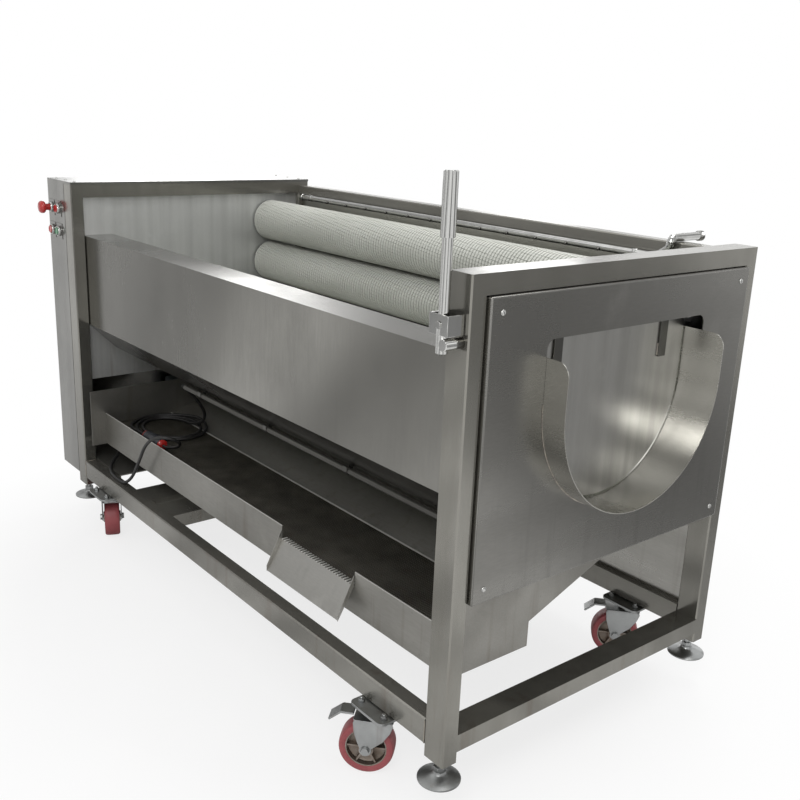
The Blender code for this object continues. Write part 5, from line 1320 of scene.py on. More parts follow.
    def build(self) -> None:
        """Build the whole drive."""
        self.make_gearbox()
        self.make_motor()
        self.make_sprocket()
        self.make_chain("long_chain", list(self.rollers), self.chain_x, "roller_chain")
        self.make_chain("short_chain", [self.rollers[3], (MIDDLE_Y, self.axis_z)],
                        self.second_x, "motor_chain")


@dataclass
class Housing:
    """What is fixed to the drive housing: the door's pressed edge and its screws, and the top cover's."""

    door_x: float = -1.05765
    near: float = -0.4416
    far: float = 0.4464
    low: float = 0.171
    high: float = 1.151
    door_rows: Point = (0.415, 0.661, 0.907)
    top_columns: Point = (-1.035, -0.955, -0.880)
    top_y: float = 0.42
    top_z: float = 1.1521

    def build(self) -> None:
        """Screw the door on round its pressed edge, and the top cover on at its corners."""
        washer = [(0.0095, 0), (0.0095, 0.0012), (0.0085, 0.0016), (0.0050, 0.0016)]
        dome = [(0.0062, 0.0010), (0.0060, 0.0026), (0.0042, 0.0042), (0.0012, 0.0048)]
        screws = []
        for y in (self.near + 0.020, self.far - 0.036):
            for z in (self.low + 0.020, *self.door_rows, self.high - 0.020):
                place = moved(self.door_x, y, z) @ spun(-math.pi / 2, "Y")
                screws += [turned("washer", washer, place, 24), turned("dome", dome, place, 20)]
        fit(joined("door_screws", *screws), "frame", BRIGHT_STEEL)
        outline = soft_corners((self.near + 0.010, self.low + 0.010),
                               (self.far - 0.012, self.high - 0.010), 0.004)
        inner = soft_corners((self.near + 0.030, self.low + 0.030),
                             (self.far - 0.060, self.high - 0.030), 0.012)
        pressing = slab("door_pressing", outline, Axis.X, self.door_x - 0.0006, self.door_x - 0.0001)
        window = slab("window", inner, Axis.X, self.door_x - 0.01, self.door_x + 0.01)
        fit(cut(pressing, window), "frame", HOUSING_STEEL)
        head = [(0.0045, 0), (0.0042, 0.0012), (0.0028, 0.0024), (0.0006, 0.0028)]
        screws = [turned("screw", head, at((x, y, self.top_z)), 16)
                  for x in self.top_columns for y in (-self.top_y, self.top_y)]
        fit(joined("top_screws", *screws), "frame", BRIGHT_STEEL)


@dataclass
class Controls:
    """The four push buttons with their chrome rings, on the housing's near side."""

    columns: Pair = (-1.02335, -0.96735)
    rows: Pair = (1.061, 0.989)
    face_y: float = -0.4446

    def place(self, x: float, z: float) -> Matrix:
        """Return the place of a piece that is drawn on +Z and points out of the near side."""
        return moved(x, self.face_y, z) @ spun(math.pi / 2, "X")

    def make_ring(self, name: str, x: float, z: float) -> None:
        """Turn one chrome ring over the solid's own.

        Args:
            name: The piece's name.
            x: The button's place along the machine.
            z: Its height.
        """
        profile = [(0.0127, 0.0004), (0.0164, 0.0004), (0.0164, 0.0050), (0.0150, 0.0078), (0.0136, 0.0081),
                   (0.0127, 0.0074), (0.0127, 0.0004)]
        fit(turned(name, profile, self.place(x, z), 40), "frame", BRIGHT_STEEL)

    def make_cap(self, name: str, x: float, z: float, body: str, finish: Finish, node: str) -> None:
        """Turn a flat button with a dished face and its stem.

        Args:
            name: The piece's name.
            x: The button's place along the machine.
            z: Its height.
            body: The body that it rides on.
            finish: Its finish.
            node: The solid that it stands for.
        """
        profile = [(0.0105, -0.019), (0.0105, 0.004), (0.0118, 0.0042), (0.0120, 0.0096), (0.0112, 0.0108),
                   (0.0085, 0.0103), (0.0040, 0.0100), (0.0006, 0.0099)]
        fit(turned(name, profile, self.place(x, z), 36), body, finish, node)

    def make_mushroom(self, x: float, z: float) -> None:
        """Turn the emergency button's domed head with its grip ring and stem.

        Args:
            x: The button's place along the machine.
            z: Its height.
        """
        profile = [(0.0105, -0.019), (0.0105, 0.022), (0.0120, 0.0235), (0.0175, 0.0245), (0.0198, 0.0275),
                   (0.0200, 0.0320), (0.0192, 0.0365), (0.0165, 0.0400), (0.0115, 0.0420),
                   (0.0055, 0.0428), (0.0006, 0.0429)]
        fit(turned("stop_mushroom", profile, self.place(x, z), 40), "e_stop_body", RED_MOULD, "e_stop")

    def build(self) -> None:
        """Build all four buttons."""
        left, right = self.columns
        high, low = self.rows
        for number, (x, z) in enumerate(((left, high), (right, high), (left, low), (right, low)), 1):
            self.make_ring(f"button_ring_{number}", x, z)
        self.make_mushroom(left, high)
        self.make_cap("red_cap", right, high, "red_button_body", RED_MOULD, "red_button")
        self.make_cap("stop_cap", left, low, "stop_button_body", RED_MOULD, "stop_button")
        self.make_cap("green_cap", right, low, "green_button_body", GREEN_MOULD, "green_button")


@dataclass
class TrayScreen:
    """The tray's wire screen, its teeth at the chute, a pale strip that paints the highlight on the tray's
    fold, and the bead on the tray's rim.
    """

    low: Point = (-0.8080, -0.3803, 0.3593)
    high: Point = (0.9270, -0.1436, 0.3623)
    pitch: float = 0.0062
    wire: float = 0.0010
    notch: Pair = (0.292, 0.597)
    notch_z: float = 0.364
    teeth: int = 28
    rim_y: Pair = (-0.3830, -0.3807)
    rim_z: float = 0.399

    def wires(self, name: str, axis: Axis, z: float) -> Piece:
        """Lay one set of parallel wires: one wire is modelled and repeated by an array.

        Args:
            name: The set's name.
            axis: The axis that its wires run along.
            z: Its height.

        Returns:
            The wires as one piece.
        """
        along, across = (0, 1) if axis is Axis.X else (1, 0)
        run = self.high[along] - self.low[along] - 0.004
        room = self.high[across] - self.low[across] - 0.006
        count = round(room / self.pitch) + 1
        start = [0.0, 0.0, z]
        start[along], start[across] = self.low[along] + 0.002, self.low[across] + 0.003
        thin, thick = self.wire * 0.8, self.wire
        profile = [(thin, 0), (thick, 0.0006), (thick, run - 0.0006), (thin, run)]
        wire = turned(name, profile, at(start, axis), 6)
        offset = [0.0, 0.0, 0.0]
        offset[across] = room / (count - 1)
        return changed(wire, "ARRAY", use_relative_offset=False, use_constant_offset=True, count=count,
                       constant_offset_displace=offset)

    def build(self) -> None:
        """Bind both sets of wires with a flat rim, then set the teeth, the strip that paints the fold's
        highlight, and the bead.
        """
        middle = (self.low[2] + self.high[2]) / 2
        pieces = [self.wires("long_wires", Axis.X, middle + 0.0006),
                  self.wires("cross_wires", Axis.Y, middle - 0.0006)]
        outline = soft_corners(self.low[:2], self.high[:2], 0.003, 3)
        inner = soft_corners((self.low[0] + 0.006, self.low[1] + 0.006),
                             (self.high[0] - 0.006, self.high[1] - 0.006), 0.003, 3)
        rim = cut(slab("rim", outline, Axis.Z, self.low[2], self.high[2]),
                  slab("well", inner, Axis.Z, self.low[2] - 0.01, self.high[2] + 0.01))
        fit(joined("screen_mesh", *pieces, rim), "frame", SCREEN_WIRE, "tray_screen")
        tooth = [(0.0014, 0), (0.0020, 0.0008), (0.0020, 0.0152), (0.0014, 0.0160)]
        teeth = []
        for number in range(self.teeth):
            x = self.notch[0] + (self.notch[1] - self.notch[0]) * (number + 0.5) / self.teeth
            spot = at((x, self.low[1] - 0.0070, self.notch_z + 0.0022), Axis.Y)
            teeth.append(turned("tooth", tooth, spot, 8))
        fit(joined("screen_teeth", *teeth), "frame", EDGE_STEEL_AND_HIGHLIGHT)
        # Painted highlight: a pale strip along the screen's far side stands in for the light on the tray's
        # fold.
        edge = block("screen_edge_highlight", (self.low[0], self.high[1] - 0.0055, self.high[2]),
                     (self.high[0], self.high[1] - 0.0005, self.high[2] + 0.0014), 0.0004)
        fit(edge, "frame", EDGE_STEEL_AND_HIGHLIGHT)
        beads = []
        for start, end in ((self.low[0], self.notch[0] - 0.002), (self.notch[1] + 0.002, self.high[0])):
            beads.append(block("bead", (start, self.rim_y[0], self.rim_z - 0.0008),
                               (end, self.rim_y[1], self.rim_z + 0.0010), 0.0004))
        fit(joined("tray_rim_bead", *beads), "frame", EDGE_STEEL_AND_HIGHLIGHT)


@dataclass
class WaterPipes:
    """The spray pipe with its nozzles, brackets and threaded inlet, and the conduit with its clips."""

    y: float = 0.392354
    z: float = 1.094
    start: float = -0.8103
    inlet_x: float = 0.78965
    inlet_z: float = 1.1425
    inlet_end: float = 0.5174
    radius: float = 0.010
    jets: int = 14
    jet_turn: float = 112.0
    conduit_y: float = -0.312646
    conduit_z: float = 0.590
    conduit_start: float = -0.3603
    conduit_end: float = 0.9314

    def make_spray(self) -> None:
        """Bend the spray pipe, thread its inlet and set the nozzles, end cap and brackets."""
        route = [(self.start + 0.001, self.y, self.z), (self.inlet_x - 0.038, self.y, self.z),
                 (self.inlet_x, self.y, self.z + 0.024), (self.inlet_x, self.y, self.inlet_z),
                 (self.inlet_x, self.inlet_end - 0.002, self.inlet_z)]
        pieces = [pipe("bent_pipe", route, self.radius, 24, 0.016)]
        thread = [(0.0105, 0), *ridged(0.0022, 6, (0.0128, 0.0012), (0.0112, 0.0022)), (0.0105, 0.0150)]
        pieces.append(turned("thread", thread,
                             at((self.inlet_x, self.inlet_end - 0.0155, self.inlet_z), Axis.Y), 28, 60))
        pieces.append(turned("cap", [(0.0100, 0), (0.0113, 0.001), (0.0113, 0.009), (0.0100, 0.010)],
                             at((self.start + 0.0003, self.y, self.z), Axis.X), 24))
        nozzle = [(0.0045, -0.002), (0.0045, 0.0045), (0.0030, 0.0065), (0.0016, 0.0068)]
        jets, first, room = [], self.start + 0.06, self.inlet_x - self.start - 0.16
        for number in range(self.jets):
            x = first + room * number / (self.jets - 1)
            place = moved(x, self.y - 0.0085, self.z - 0.0035) @ spun(math.radians(self.jet_turn), "X")
            jets.append(turned("nozzle", nozzle, place, 12))
        collar = [(0.0108, 0), (0.0114, 0.001), (0.0114, 0.011), (0.0108, 0.012)]
        span = self.inlet_x - 0.036 - self.start
        for share in (0.04, 0.5, 0.96):
            x = self.start + span * share
            pieces.append(block("bracket", (x - 0.010, self.y + 0.004, self.z - 0.0095),
                                (x + 0.010, self.y + 0.0147, self.z - 0.0065), 0.0008))
            pieces.append(turned("collar", collar, at((x - 0.006, self.y, self.z), Axis.X), 24))
        fit(joined("spray_jets", *jets), "frame", PIPE_STEEL_AND_SHADE)
        fit(joined("spray_bar", *pieces), "frame", BRIGHT_STEEL, "spray_pipe")

    def make_conduit(self) -> None:
        """Draw the conduit with a bushed end and saddle clips on the splash guard."""
        y, z, length = self.conduit_y, self.conduit_z, self.conduit_end - self.conduit_start
        tube = [(0.0055, 0), (0.0085, 0.0006), (0.0085, 0.0100), (0.0080, 0.0108), (0.0080, length - 0.0004)]
        pieces = [turned("tube", tube, at((self.conduit_start, y, z), Axis.X), 24)]
        for share in (0.08, 0.36, 0.64, 0.92):
            x = self.conduit_start + length * share
            saddle = arc((y, z), 0.0094, 200, 340, 12) + arc((y, z), 0.0080, 340, 200, 12)
            pieces.append(slab("saddle", saddle, Axis.X, x - 0.008, x + 0.008))
            for near, far in ((-0.0095, -0.0080), (0.0080, 0.0095)):
                pieces.append(block("strap", (x - 0.008, y + near, z - 0.002),
                                    (x + 0.008, y + far, z + 0.0108), 0.0004))
        fit(joined("cable_conduit", *pieces), "frame", PIPE_STEEL_AND_SHADE, "conduit")

    def build(self) -> None:
        """Build both pipes."""
        self.make_spray()
        self.make_conduit()


@dataclass(frozen=True)
class CasterPlace:
    """Where one caster stands, how it is turned and whether it has a brake."""

    number: int
    x: float
    y: float
    turn: float
    braked: bool

    def matrix(self) -> Matrix:
        """Return the caster's own frame: origin on the swivel axis at the floor, wheel trailing along -X."""
        return moved(self.x, self.y, 0) @ spun(math.radians(self.turn), "Z")


@dataclass
class Casters:
    """The four swivel casters: bolted plates, ball races, forks, red tyred wheels and two brakes."""

    places: tuple[CasterPlace, ...] = (CasterPlace(1, 0.77265, -0.423146, 42.4, True),
                                       CasterPlace(2, 0.77265, 0.427354, 42.4, True),
                                       CasterPlace(3, -0.69635, -0.423146, -22.6, False),
                                       CasterPlace(4, -0.69635, 0.427354, -22.6, False))
    trail: float = 0.034
    axle_z: float = 0.0625
    inner: float = 0.0285
    gauge: float = 0.003
    crown: float = 0.137
    bolt_x: float = 0.040
    bolt_y: float = 0.032
    ribs: int = 6
    pedal: Point = (-0.066, 0, 0.1423)

    def make_plate(self, place: CasterPlace) -> None:
        """Bolt the swivel's top plate to the adapter plate under the rail.

        Args:
            place: Where the caster stands.
        """
        move = moved(place.x, place.y, 0)
        adapter = soft_corners((-0.0575, -0.055), (0.0575, 0.055), 0.015)
        top = soft_corners((-0.0525, -0.0425), (0.0525, 0.0425), 0.006)
        pieces = [slab("adapter", adapter, Axis.Z, 0.1577, 0.1637, 0.0010, move),
                  slab("top", top, Axis.Z, 0.1537, 0.1577, 0.0008, move),
                  turned("cup", [(0.030, 0.1532), (0.034, 0.1542), (0.036, 0.1550)], move, 36)]
        washer = [(0.0100, 0.1525), (0.0104, 0.1530), (0.0104, 0.1538)]
        end = [(0.0046, 0.1698), (0.0046, 0.1742), (0.0036, 0.1752)]
        for x in (-self.bolt_x, self.bolt_x):
            for y in (-self.bolt_y, self.bolt_y):
                spot = move @ moved(x, y, 0)
                pieces.append(turned("washer", washer, spot, 20))
                pieces.append(slab("head", hexagon(0.0085), Axis.Z, 0.1478, 0.1527, 0.0008, spot))
                pieces.append(slab("nut", hexagon(0.0080), Axis.Z, 0.1636, 0.1700, 0.0009, spot))
                pieces.append(turned("end", end, spot, 16))
        fit(joined(f"swivel_plate_{place.number}", *pieces), "frame", ZINC_PLATE,
            f"caster_plate_{place.number}")

    def leg(self, side: int) -> Piece:
        """Cut one fork leg: wide at the crown, drawn in to a round end at the axle.

        Args:
            side: 1 for the leg at +Y, -1 for the other.

        Returns:
            The leg.
        """
        outline = [(0.024, self.crown - 0.002), (0.026, self.crown - 0.008), (0.020, 0.112), (0.004, 0.088)]
        outline += arc((-self.trail, self.axle_z), 0.014, 20, -200, 14)
        outline += [(-0.054, 0.085), (-0.0610, 0.108), (-0.0631, self.crown - 0.008),
                    (-0.0605, self.crown - 0.002)]
        start = self.inner if side > 0 else -self.inner - self.gauge
        flipped = [(z, x) for x, z in outline]
        return slab("leg", flipped, Axis.Y, start, start + self.gauge, 0.0009)

    def make_fork(self, place: CasterPlace) -> None:
        """Press the fork and set its race, axle bolt and nuts.

        Args:
            place: Where the caster stands.
        """
        outer = self.inner + self.gauge
        crown = soft_corners((-0.0631, -outer), (0.026, outer), 0.006)
        race = [(0.0285, self.crown - 0.001), (0.0300, self.crown + 0.001), (0.0300, 0.1430),
                (0.0270, 0.1450), (0.0285, 0.1468), (0.0285, 0.1524), (0.0270, 0.1532)]
        washer = [(0.0105, outer - 0.0003), (0.0108, outer + 0.0004), (0.0108, outer + 0.0014)]
        axle = moved(-self.trail, 0, self.axle_z)
        pieces = [self.leg(1), self.leg(-1),
                  slab("crown", crown, Axis.Z, self.crown - self.gauge, self.crown, 0.0009),
                  turned("race", race, UNMOVED, 40)]
        for side in (-1, 1):
            turn = axle @ spun(-side * math.pi / 2, "X")
            pieces.append(turned("washer", washer, turn, 24))
            pieces.append(slab("nut", hexagon(0.0098), Axis.Z, outer + 0.0010, outer + 0.0068, 0.0009, turn))
        pieces.append(turned("axle", [(0.0055, -outer), (0.0055, outer)], axle @ spun(math.pi / 2, "X"), 20))
        fork = joined(f"swivel_fork_{place.number}", *pieces)
        fork.data.transform(place.matrix())
        fit(fork, f"caster_swivel_{place.number}", ZINC_PLATE, f"caster_fork_{place.number}")

    def make_wheel(self, place: CasterPlace) -> None:
        """Mould the tyre on its iron centre with a ribbed web and a bored hub.

        Args:
            place: Where the caster stands.
        """
        tyre = mirrored((0.0465, 0.0215), (0.0505, 0.0235), (0.0560, 0.0240), (0.0598, 0.0226),
                        (0.0618, 0.0180), (0.0625, 0.0090))
        centre = mirrored((0.0066, 0.0272), (0.0165, 0.0275), (0.0180, 0.0262), (0.0185, 0.0075),
                          (0.0240, 0.0050), (0.0380, 0.0050), (0.0425, 0.0080),
                          (0.0440, 0.0205), (0.0472, 0.0212))
        axle = place.matrix() @ moved(-self.trail, 0, self.axle_z) @ spun(math.pi / 2, "X")
        body = f"caster_wheel_body_{place.number}"
        fit(turned(f"tyre_{place.number}", tyre, axle, 64), body, TYRE_RED, f"caster_wheel_{place.number}")
        pieces = [turned("centre", centre, axle, 48)]
        for number in range(self.ribs):
            turn = spun(math.tau * number / self.ribs, "Z")
            for side in (-1, 1):
                low, high = sorted((side * 0.0045, side * 0.0175))
                corners = (0.0175, -0.0022, low), (0.0435, 0.0022, high)
                pieces.append(block("rib", *corners, 0.0008, axle @ turn))
        fit(joined(f"wheel_centre_{place.number}", *pieces), body, HUB_IRON)

    def make_brake(self, place: CasterPlace) -> None:
        """Press the brake's pedal: a flat arm and a bent tread with its grip ribs.

        Args:
            place: Where the caster stands.
        """
        run, drop = -0.054, -0.0213
        slope = math.atan2(drop, run / 2)
        flat = block("flat", (run / 2 - 0.001, -0.018, -0.0025), (0.0022, 0.018, 0.0025), 0.0012)
        bend = moved(run / 2, 0, 0) @ spun(-slope, "Y")
        tread = block("tread", (0, -0.018, -0.0025), (math.hypot(run / 2, drop), 0.018, 0.0020), 0.0012, bend)
        pieces = [flat, tread]
        for y in (-0.011, 0.0, 0.011):
            pieces.append(block("rib", (0.006, y - 0.0018, 0.0005),
                                (0.027, y + 0.0018, 0.0028), 0.0007, bend))
        pedal = joined(f"pressed_pedal_{place.number}", *pieces)
        pedal.data.transform(place.matrix() @ moved(*self.pedal))
        fit(pedal, f"brake_{place.number}", ZINC_PLATE, f"brake_pedal_{place.number}")

    def build(self) -> None:
        """Build all four casters."""
        for place in self.places:
            self.make_plate(place)
            self.make_fork(place)
            self.make_wheel(place)
            if place.braked:
                self.make_brake(place)


@dataclass
class Feet:
    """The four levelling feet with their threaded stems and lock nuts."""

    places: tuple[Pair, ...] = ((0.95965, -0.422646), (0.95965, 0.427354), (-0.88635, -0.422646),
                                (-0.88635, 0.427354))
    bottom: float = 0.091

    def build(self) -> None:
        """Turn one foot, then copy it to its four places."""
        profile = [(0.0440, 0), (0.0460, 0.0012), (0.0460, 0.0040), (0.0440, 0.0054), (0.0330, 0.0085),
                   (0.0240, 0.0125), (0.0160, 0.0150), (0.0135, 0.0175), (0.0130, 0.0210), (0.0100, 0.0225)]
        base = turned("base", profile, UNMOVED, 48, 50)
        nut = slab("nut", hexagon(0.0135), Axis.Z, 0.0215, 0.0320, 0.0010)
        ridges = ridged(0.0035, 46, (0.0080, 0.0312), (0.0070, 0.0329))
        thread = [(0.0078, 0.0300), *ridges, (0.0078, 0.1980)]
        stem = turned("stem", thread, UNMOVED, 16, 60)
        foot = joined("foot", base, nut, stem)
        for number, (x, y) in enumerate(self.places, 1):
            twin = copied(foot, f"levelling_foot_{number}", moved(x, y, self.bottom))
            fit(twin, f"foot_body_{number}", ZINC_PLATE, f"foot_{number}")
        discard(foot)


@dataclass
class Cords:
    """The mains cord: from its gland to a coupler, then round its loose loops and up into the conduit."""

    radius: float = 0.005
    spacing: float = 0.010
    curve_steps: int = 16
    easing_passes: int = 6
    supply: tuple[Point, ...] = (
        (-0.8833, -0.3820, 0.3300), (-0.8833, -0.3700, 0.3300), (-0.8743, -0.3306, 0.3230),
        (-0.8483, -0.3106, 0.3020), (-0.8153, -0.3246, 0.2720), (-0.7853, -0.3626, 0.2480),
        (-0.7503, -0.3966, 0.2360), (-0.7003, -0.4166, 0.2293), (-0.6453, -0.4226, 0.2293),
        (-0.5903, -0.4206, 0.2296), (-0.5353, -0.4166, 0.2680), (-0.4803, -0.4166, 0.3360),
        (-0.4303, -0.4166, 0.4020), (-0.3823, -0.4086, 0.4400), (-0.3484, -0.3806, 0.4460),
        (-0.3463, -0.3466, 0.4280), (-0.3703, -0.3306, 0.4040), (-0.4043, -0.3386, 0.3880),
        (-0.4360, -0.3486, 0.3836), (-0.4480, -0.3486, 0.3836))
    loops: tuple[Point, ...] = (
        (-0.5736, -0.3486, 0.3836), (-0.5856, -0.3486, 0.3836), (-0.7246, -0.3310, 0.3676),
        (-0.7777, -0.2861, 0.3676), (-0.7958, -0.2266, 0.3676), (-0.7751, -0.1686, 0.3676),
        (-0.7216, -0.1275, 0.3721), (-0.6503, -0.1136, 0.3776), (-0.5806, -0.1301, 0.3710),
        (-0.5308, -0.1716, 0.3676), (-0.5138, -0.2266, 0.3676), (-0.5334, -0.2801, 0.3676),
        (-0.5836, -0.3180, 0.3676), (-0.6503, -0.3306, 0.3676), (-0.7156, -0.3154, 0.3676),
        (-0.7621, -0.2771, 0.3676), (-0.7778, -0.2266, 0.3676), (-0.7595, -0.1776, 0.3676),
        (-0.7126, -0.1431, 0.3676), (-0.6503, -0.1316, 0.3704), (-0.5896, -0.1457, 0.3676),
        (-0.5464, -0.1806, 0.3676), (-0.5318, -0.2266, 0.3676), (-0.5490, -0.2711, 0.3676),
        (-0.5926, -0.3024, 0.3676), (-0.6503, -0.3126, 0.3676), (-0.7066, -0.2998, 0.3676),
        (-0.7465, -0.2681, 0.3676), (-0.7598, -0.2266, 0.3676), (-0.7439, -0.1866, 0.3676),
        (-0.7036, -0.1587, 0.3676), (-0.6504, -0.1496, 0.3676), (-0.5903, -0.1526, 0.3860),
        (-0.5453, -0.1586, 0.4100), (-0.5023, -0.1766, 0.4440), (-0.4693, -0.2046, 0.4840),
        (-0.4483, -0.2386, 0.5240), (-0.4303, -0.2726, 0.5580), (-0.4043, -0.3006, 0.5810),
        (-0.3726, -0.3126, 0.5900), (-0.3606, -0.3126, 0.5900))
    supply_length: float = 0.917
    loops_length: float = 2.296
    coupler_start: float = -0.5733
    coupler_length: float = 0.125
    coupler_y: float = -0.348646
    coupler_z: float = 0.3836
    gland: Point = (-0.88335, -0.4023, 0.330)

    def smooth(self, route: tuple[Point, ...]) -> list[Vector]:
        """Return close points along a smooth curve through a route, with its straight leads kept.

        Args:
            route: The route's points, with a lead at each end.

        Returns:
            The points of the curve.
        """
        knots = [Vector(point) for point in route[1:-1]]
        fine = []
        for index in range(len(knots) - 1):
            start, end = knots[index], knots[index + 1]
            before = knots[index - 1] if index else start * 2 - end
            after = knots[index + 2] if index + 2 < len(knots) else end * 2 - start
            square = before * 2 - start * 5 + end * 4 - after
            cube = start * 3 - before - end * 3 + after
            for step in range(self.curve_steps):
                t = step / self.curve_steps
                fine.append((start * 2 + (end - before) * t + square * t ** 2 + cube * t ** 3) / 2)
        fine.append(knots[-1])
        points, travelled, wanted = [fine[0]], 0.0, self.spacing
        for a, b in zip(fine, fine[1:]):
            run = (b - a).length
            while wanted <= travelled + run:
                points.append(a.lerp(b, (wanted - travelled) / run))
                wanted += self.spacing
            travelled += run
        points = [Vector(route[0])] + points + [Vector(route[-1])]
        for _ in range(self.easing_passes):
            inner = [b.lerp((a + c) / 2, 0.5) for a, b, c in zip(points[1:], points[2:], points[3:])]
            points = points[:2] + inner + points[-2:]
        return points

    def make_coupler(self) -> tuple[Piece, Piece]:
        """Turn the in-line coupler's ribbed body and its two red ends.

        Returns:
            The body and the two ends, which are one piece.
        """
        place = at((self.coupler_start, self.coupler_y, self.coupler_z), Axis.X)
        length = self.coupler_length
        ridges = ridged(0.006, 5, (0.0185, 0.014), (0.0192, 0.0155), (0.0192, 0.0175), (0.0182, 0.019))
        body = [(0.0125, 0.010), (0.0175, 0.011), *ridges, (0.0205, 0.050), (0.0209, 0.054), (0.0209, 0.070),
                (0.0200, 0.073), (0.0165, 0.078), (0.0162, 0.100), (0.0175, 0.104),
                (0.0175, 0.113), (0.0125, 0.115)]
        shell = fit(turned("coupler_body", body, place, 36), "frame", BLACK_MOULD, "cord_coupler")
        near = [(0.0075, 0.0004), (0.0130, 0.002), (0.0165, 0.006), (0.0170, 0.0115), (0.0130, 0.0125)]
        far = [(0.0130, length - 0.0125), (0.0172, length - 0.0115), (0.0168, length - 0.006),
               (0.0120, length - 0.002), (0.0075, length - 0.0004)]
        ends = [turned("end", profile, place, 32) for profile in (near, far)]
        return shell, fit(joined("coupler_ends", *ends), "frame", RED_MOULD)

    def make_gland(self) -> None:
        """Turn the gland: hexagon nut, ribbed dome and the tapered sleeve that the cord leaves."""
        x, y, z = self.gland
        place = at(self.gland, Axis.Y)
        nut = slab("nut", hexagon(0.0110), Axis.Y, y + 0.0002, y + 0.0082, 0.0008, moved(x, 0, z))
        ridges = ridged(0.0032, 3, (0.0093, 0.0085), (0.0093, 0.0101), (0.0084, 0.0109))
        dome = [(0.0090, 0.0075), *ridges, (0.0080, 0.0190), (0.0070, 0.0200), (0.0066, 0.0250),
                (0.0060, 0.0315), (0.0054, 0.0318)]
        sleeve = turned("sleeve", dome, place, 32)
        fit(joined("tapered_gland", nut, sleeve), "frame", BLACK_MOULD, "cord_gland")

    def lay(self, name: str, route: tuple[Point, ...], node: str) -> Piece:
        """Lay one stretch of the cord as a round tube along its route."""
        return fit(drawn_tube(name, self.smooth(route), self.radius, 4), "frame", SHEATH, node)

    def build(self) -> None:
        """Lay both stretches of the cord and set the pieces on them."""
        self.make_gland()
        shell, ends = self.make_coupler()
        supply = self.lay("mains_supply", self.supply, "cord_supply")
        loops = self.lay("mains_loops", self.loops, "cord_loops")


@dataclass
class Welds:
    """The weld seams where the rails and crossbars meet the posts."""

    rail_low: float = 0.164
    rail_high: float = 0.224
    bead: float = 0.0014

    def build(self) -> None:
        """Run a bead on each outer corner between the rails and the posts."""
        beads = []
        for x in (0.92965, -0.85620):
            for y in (-0.4428, 0.4476):
                beads.append(pipe("bead", [(x, y, self.rail_low + 0.003), (x, y, self.rail_high - 0.003)],
                                  self.bead, BEAD_SIDES))
            for y in (-0.4426, 0.4074):
                beads.append(pipe("bead", [(x, y + 0.004, self.rail_high + 0.0002),
                                           (x, y + 0.036, self.rail_high + 0.0002)], self.bead, BEAD_SIDES))
        fit(joined("rail_welds", *beads), "frame", WELD_STEEL)


CAD_FINISHES = {
    "outlet_portal": TUBE_STEEL, "drive_portal": TUBE_STEEL, "base_frame": RAIL_STEEL, "top_rail": RAIL_STEEL,
    "near_panel": PANEL_STEEL, "back_panel": LIGHTENED_BACK_STEEL, "drive_end_wall": LIGHTENED_WALL_STEEL,
    "outlet_end_wall": LIGHTENED_WALL_STEEL, "motor_shelf": TRAY_STEEL, "housing_shell": HOUSING_STEEL,
    "housing_door": HOUSING_STEEL, "catch_tray": TRAY_STEEL, "discharge_chute": CHUTE_STEEL,
}


def dress_solids() -> None:
    """Give every solid that stays in sight its finish."""
    for node, finish in CAD_FINISHES.items():
        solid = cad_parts[node]
        for slot in solid.material_slots:
            slot.material = finish.material()
        LOG.info("%s: %s", node, finish.name)


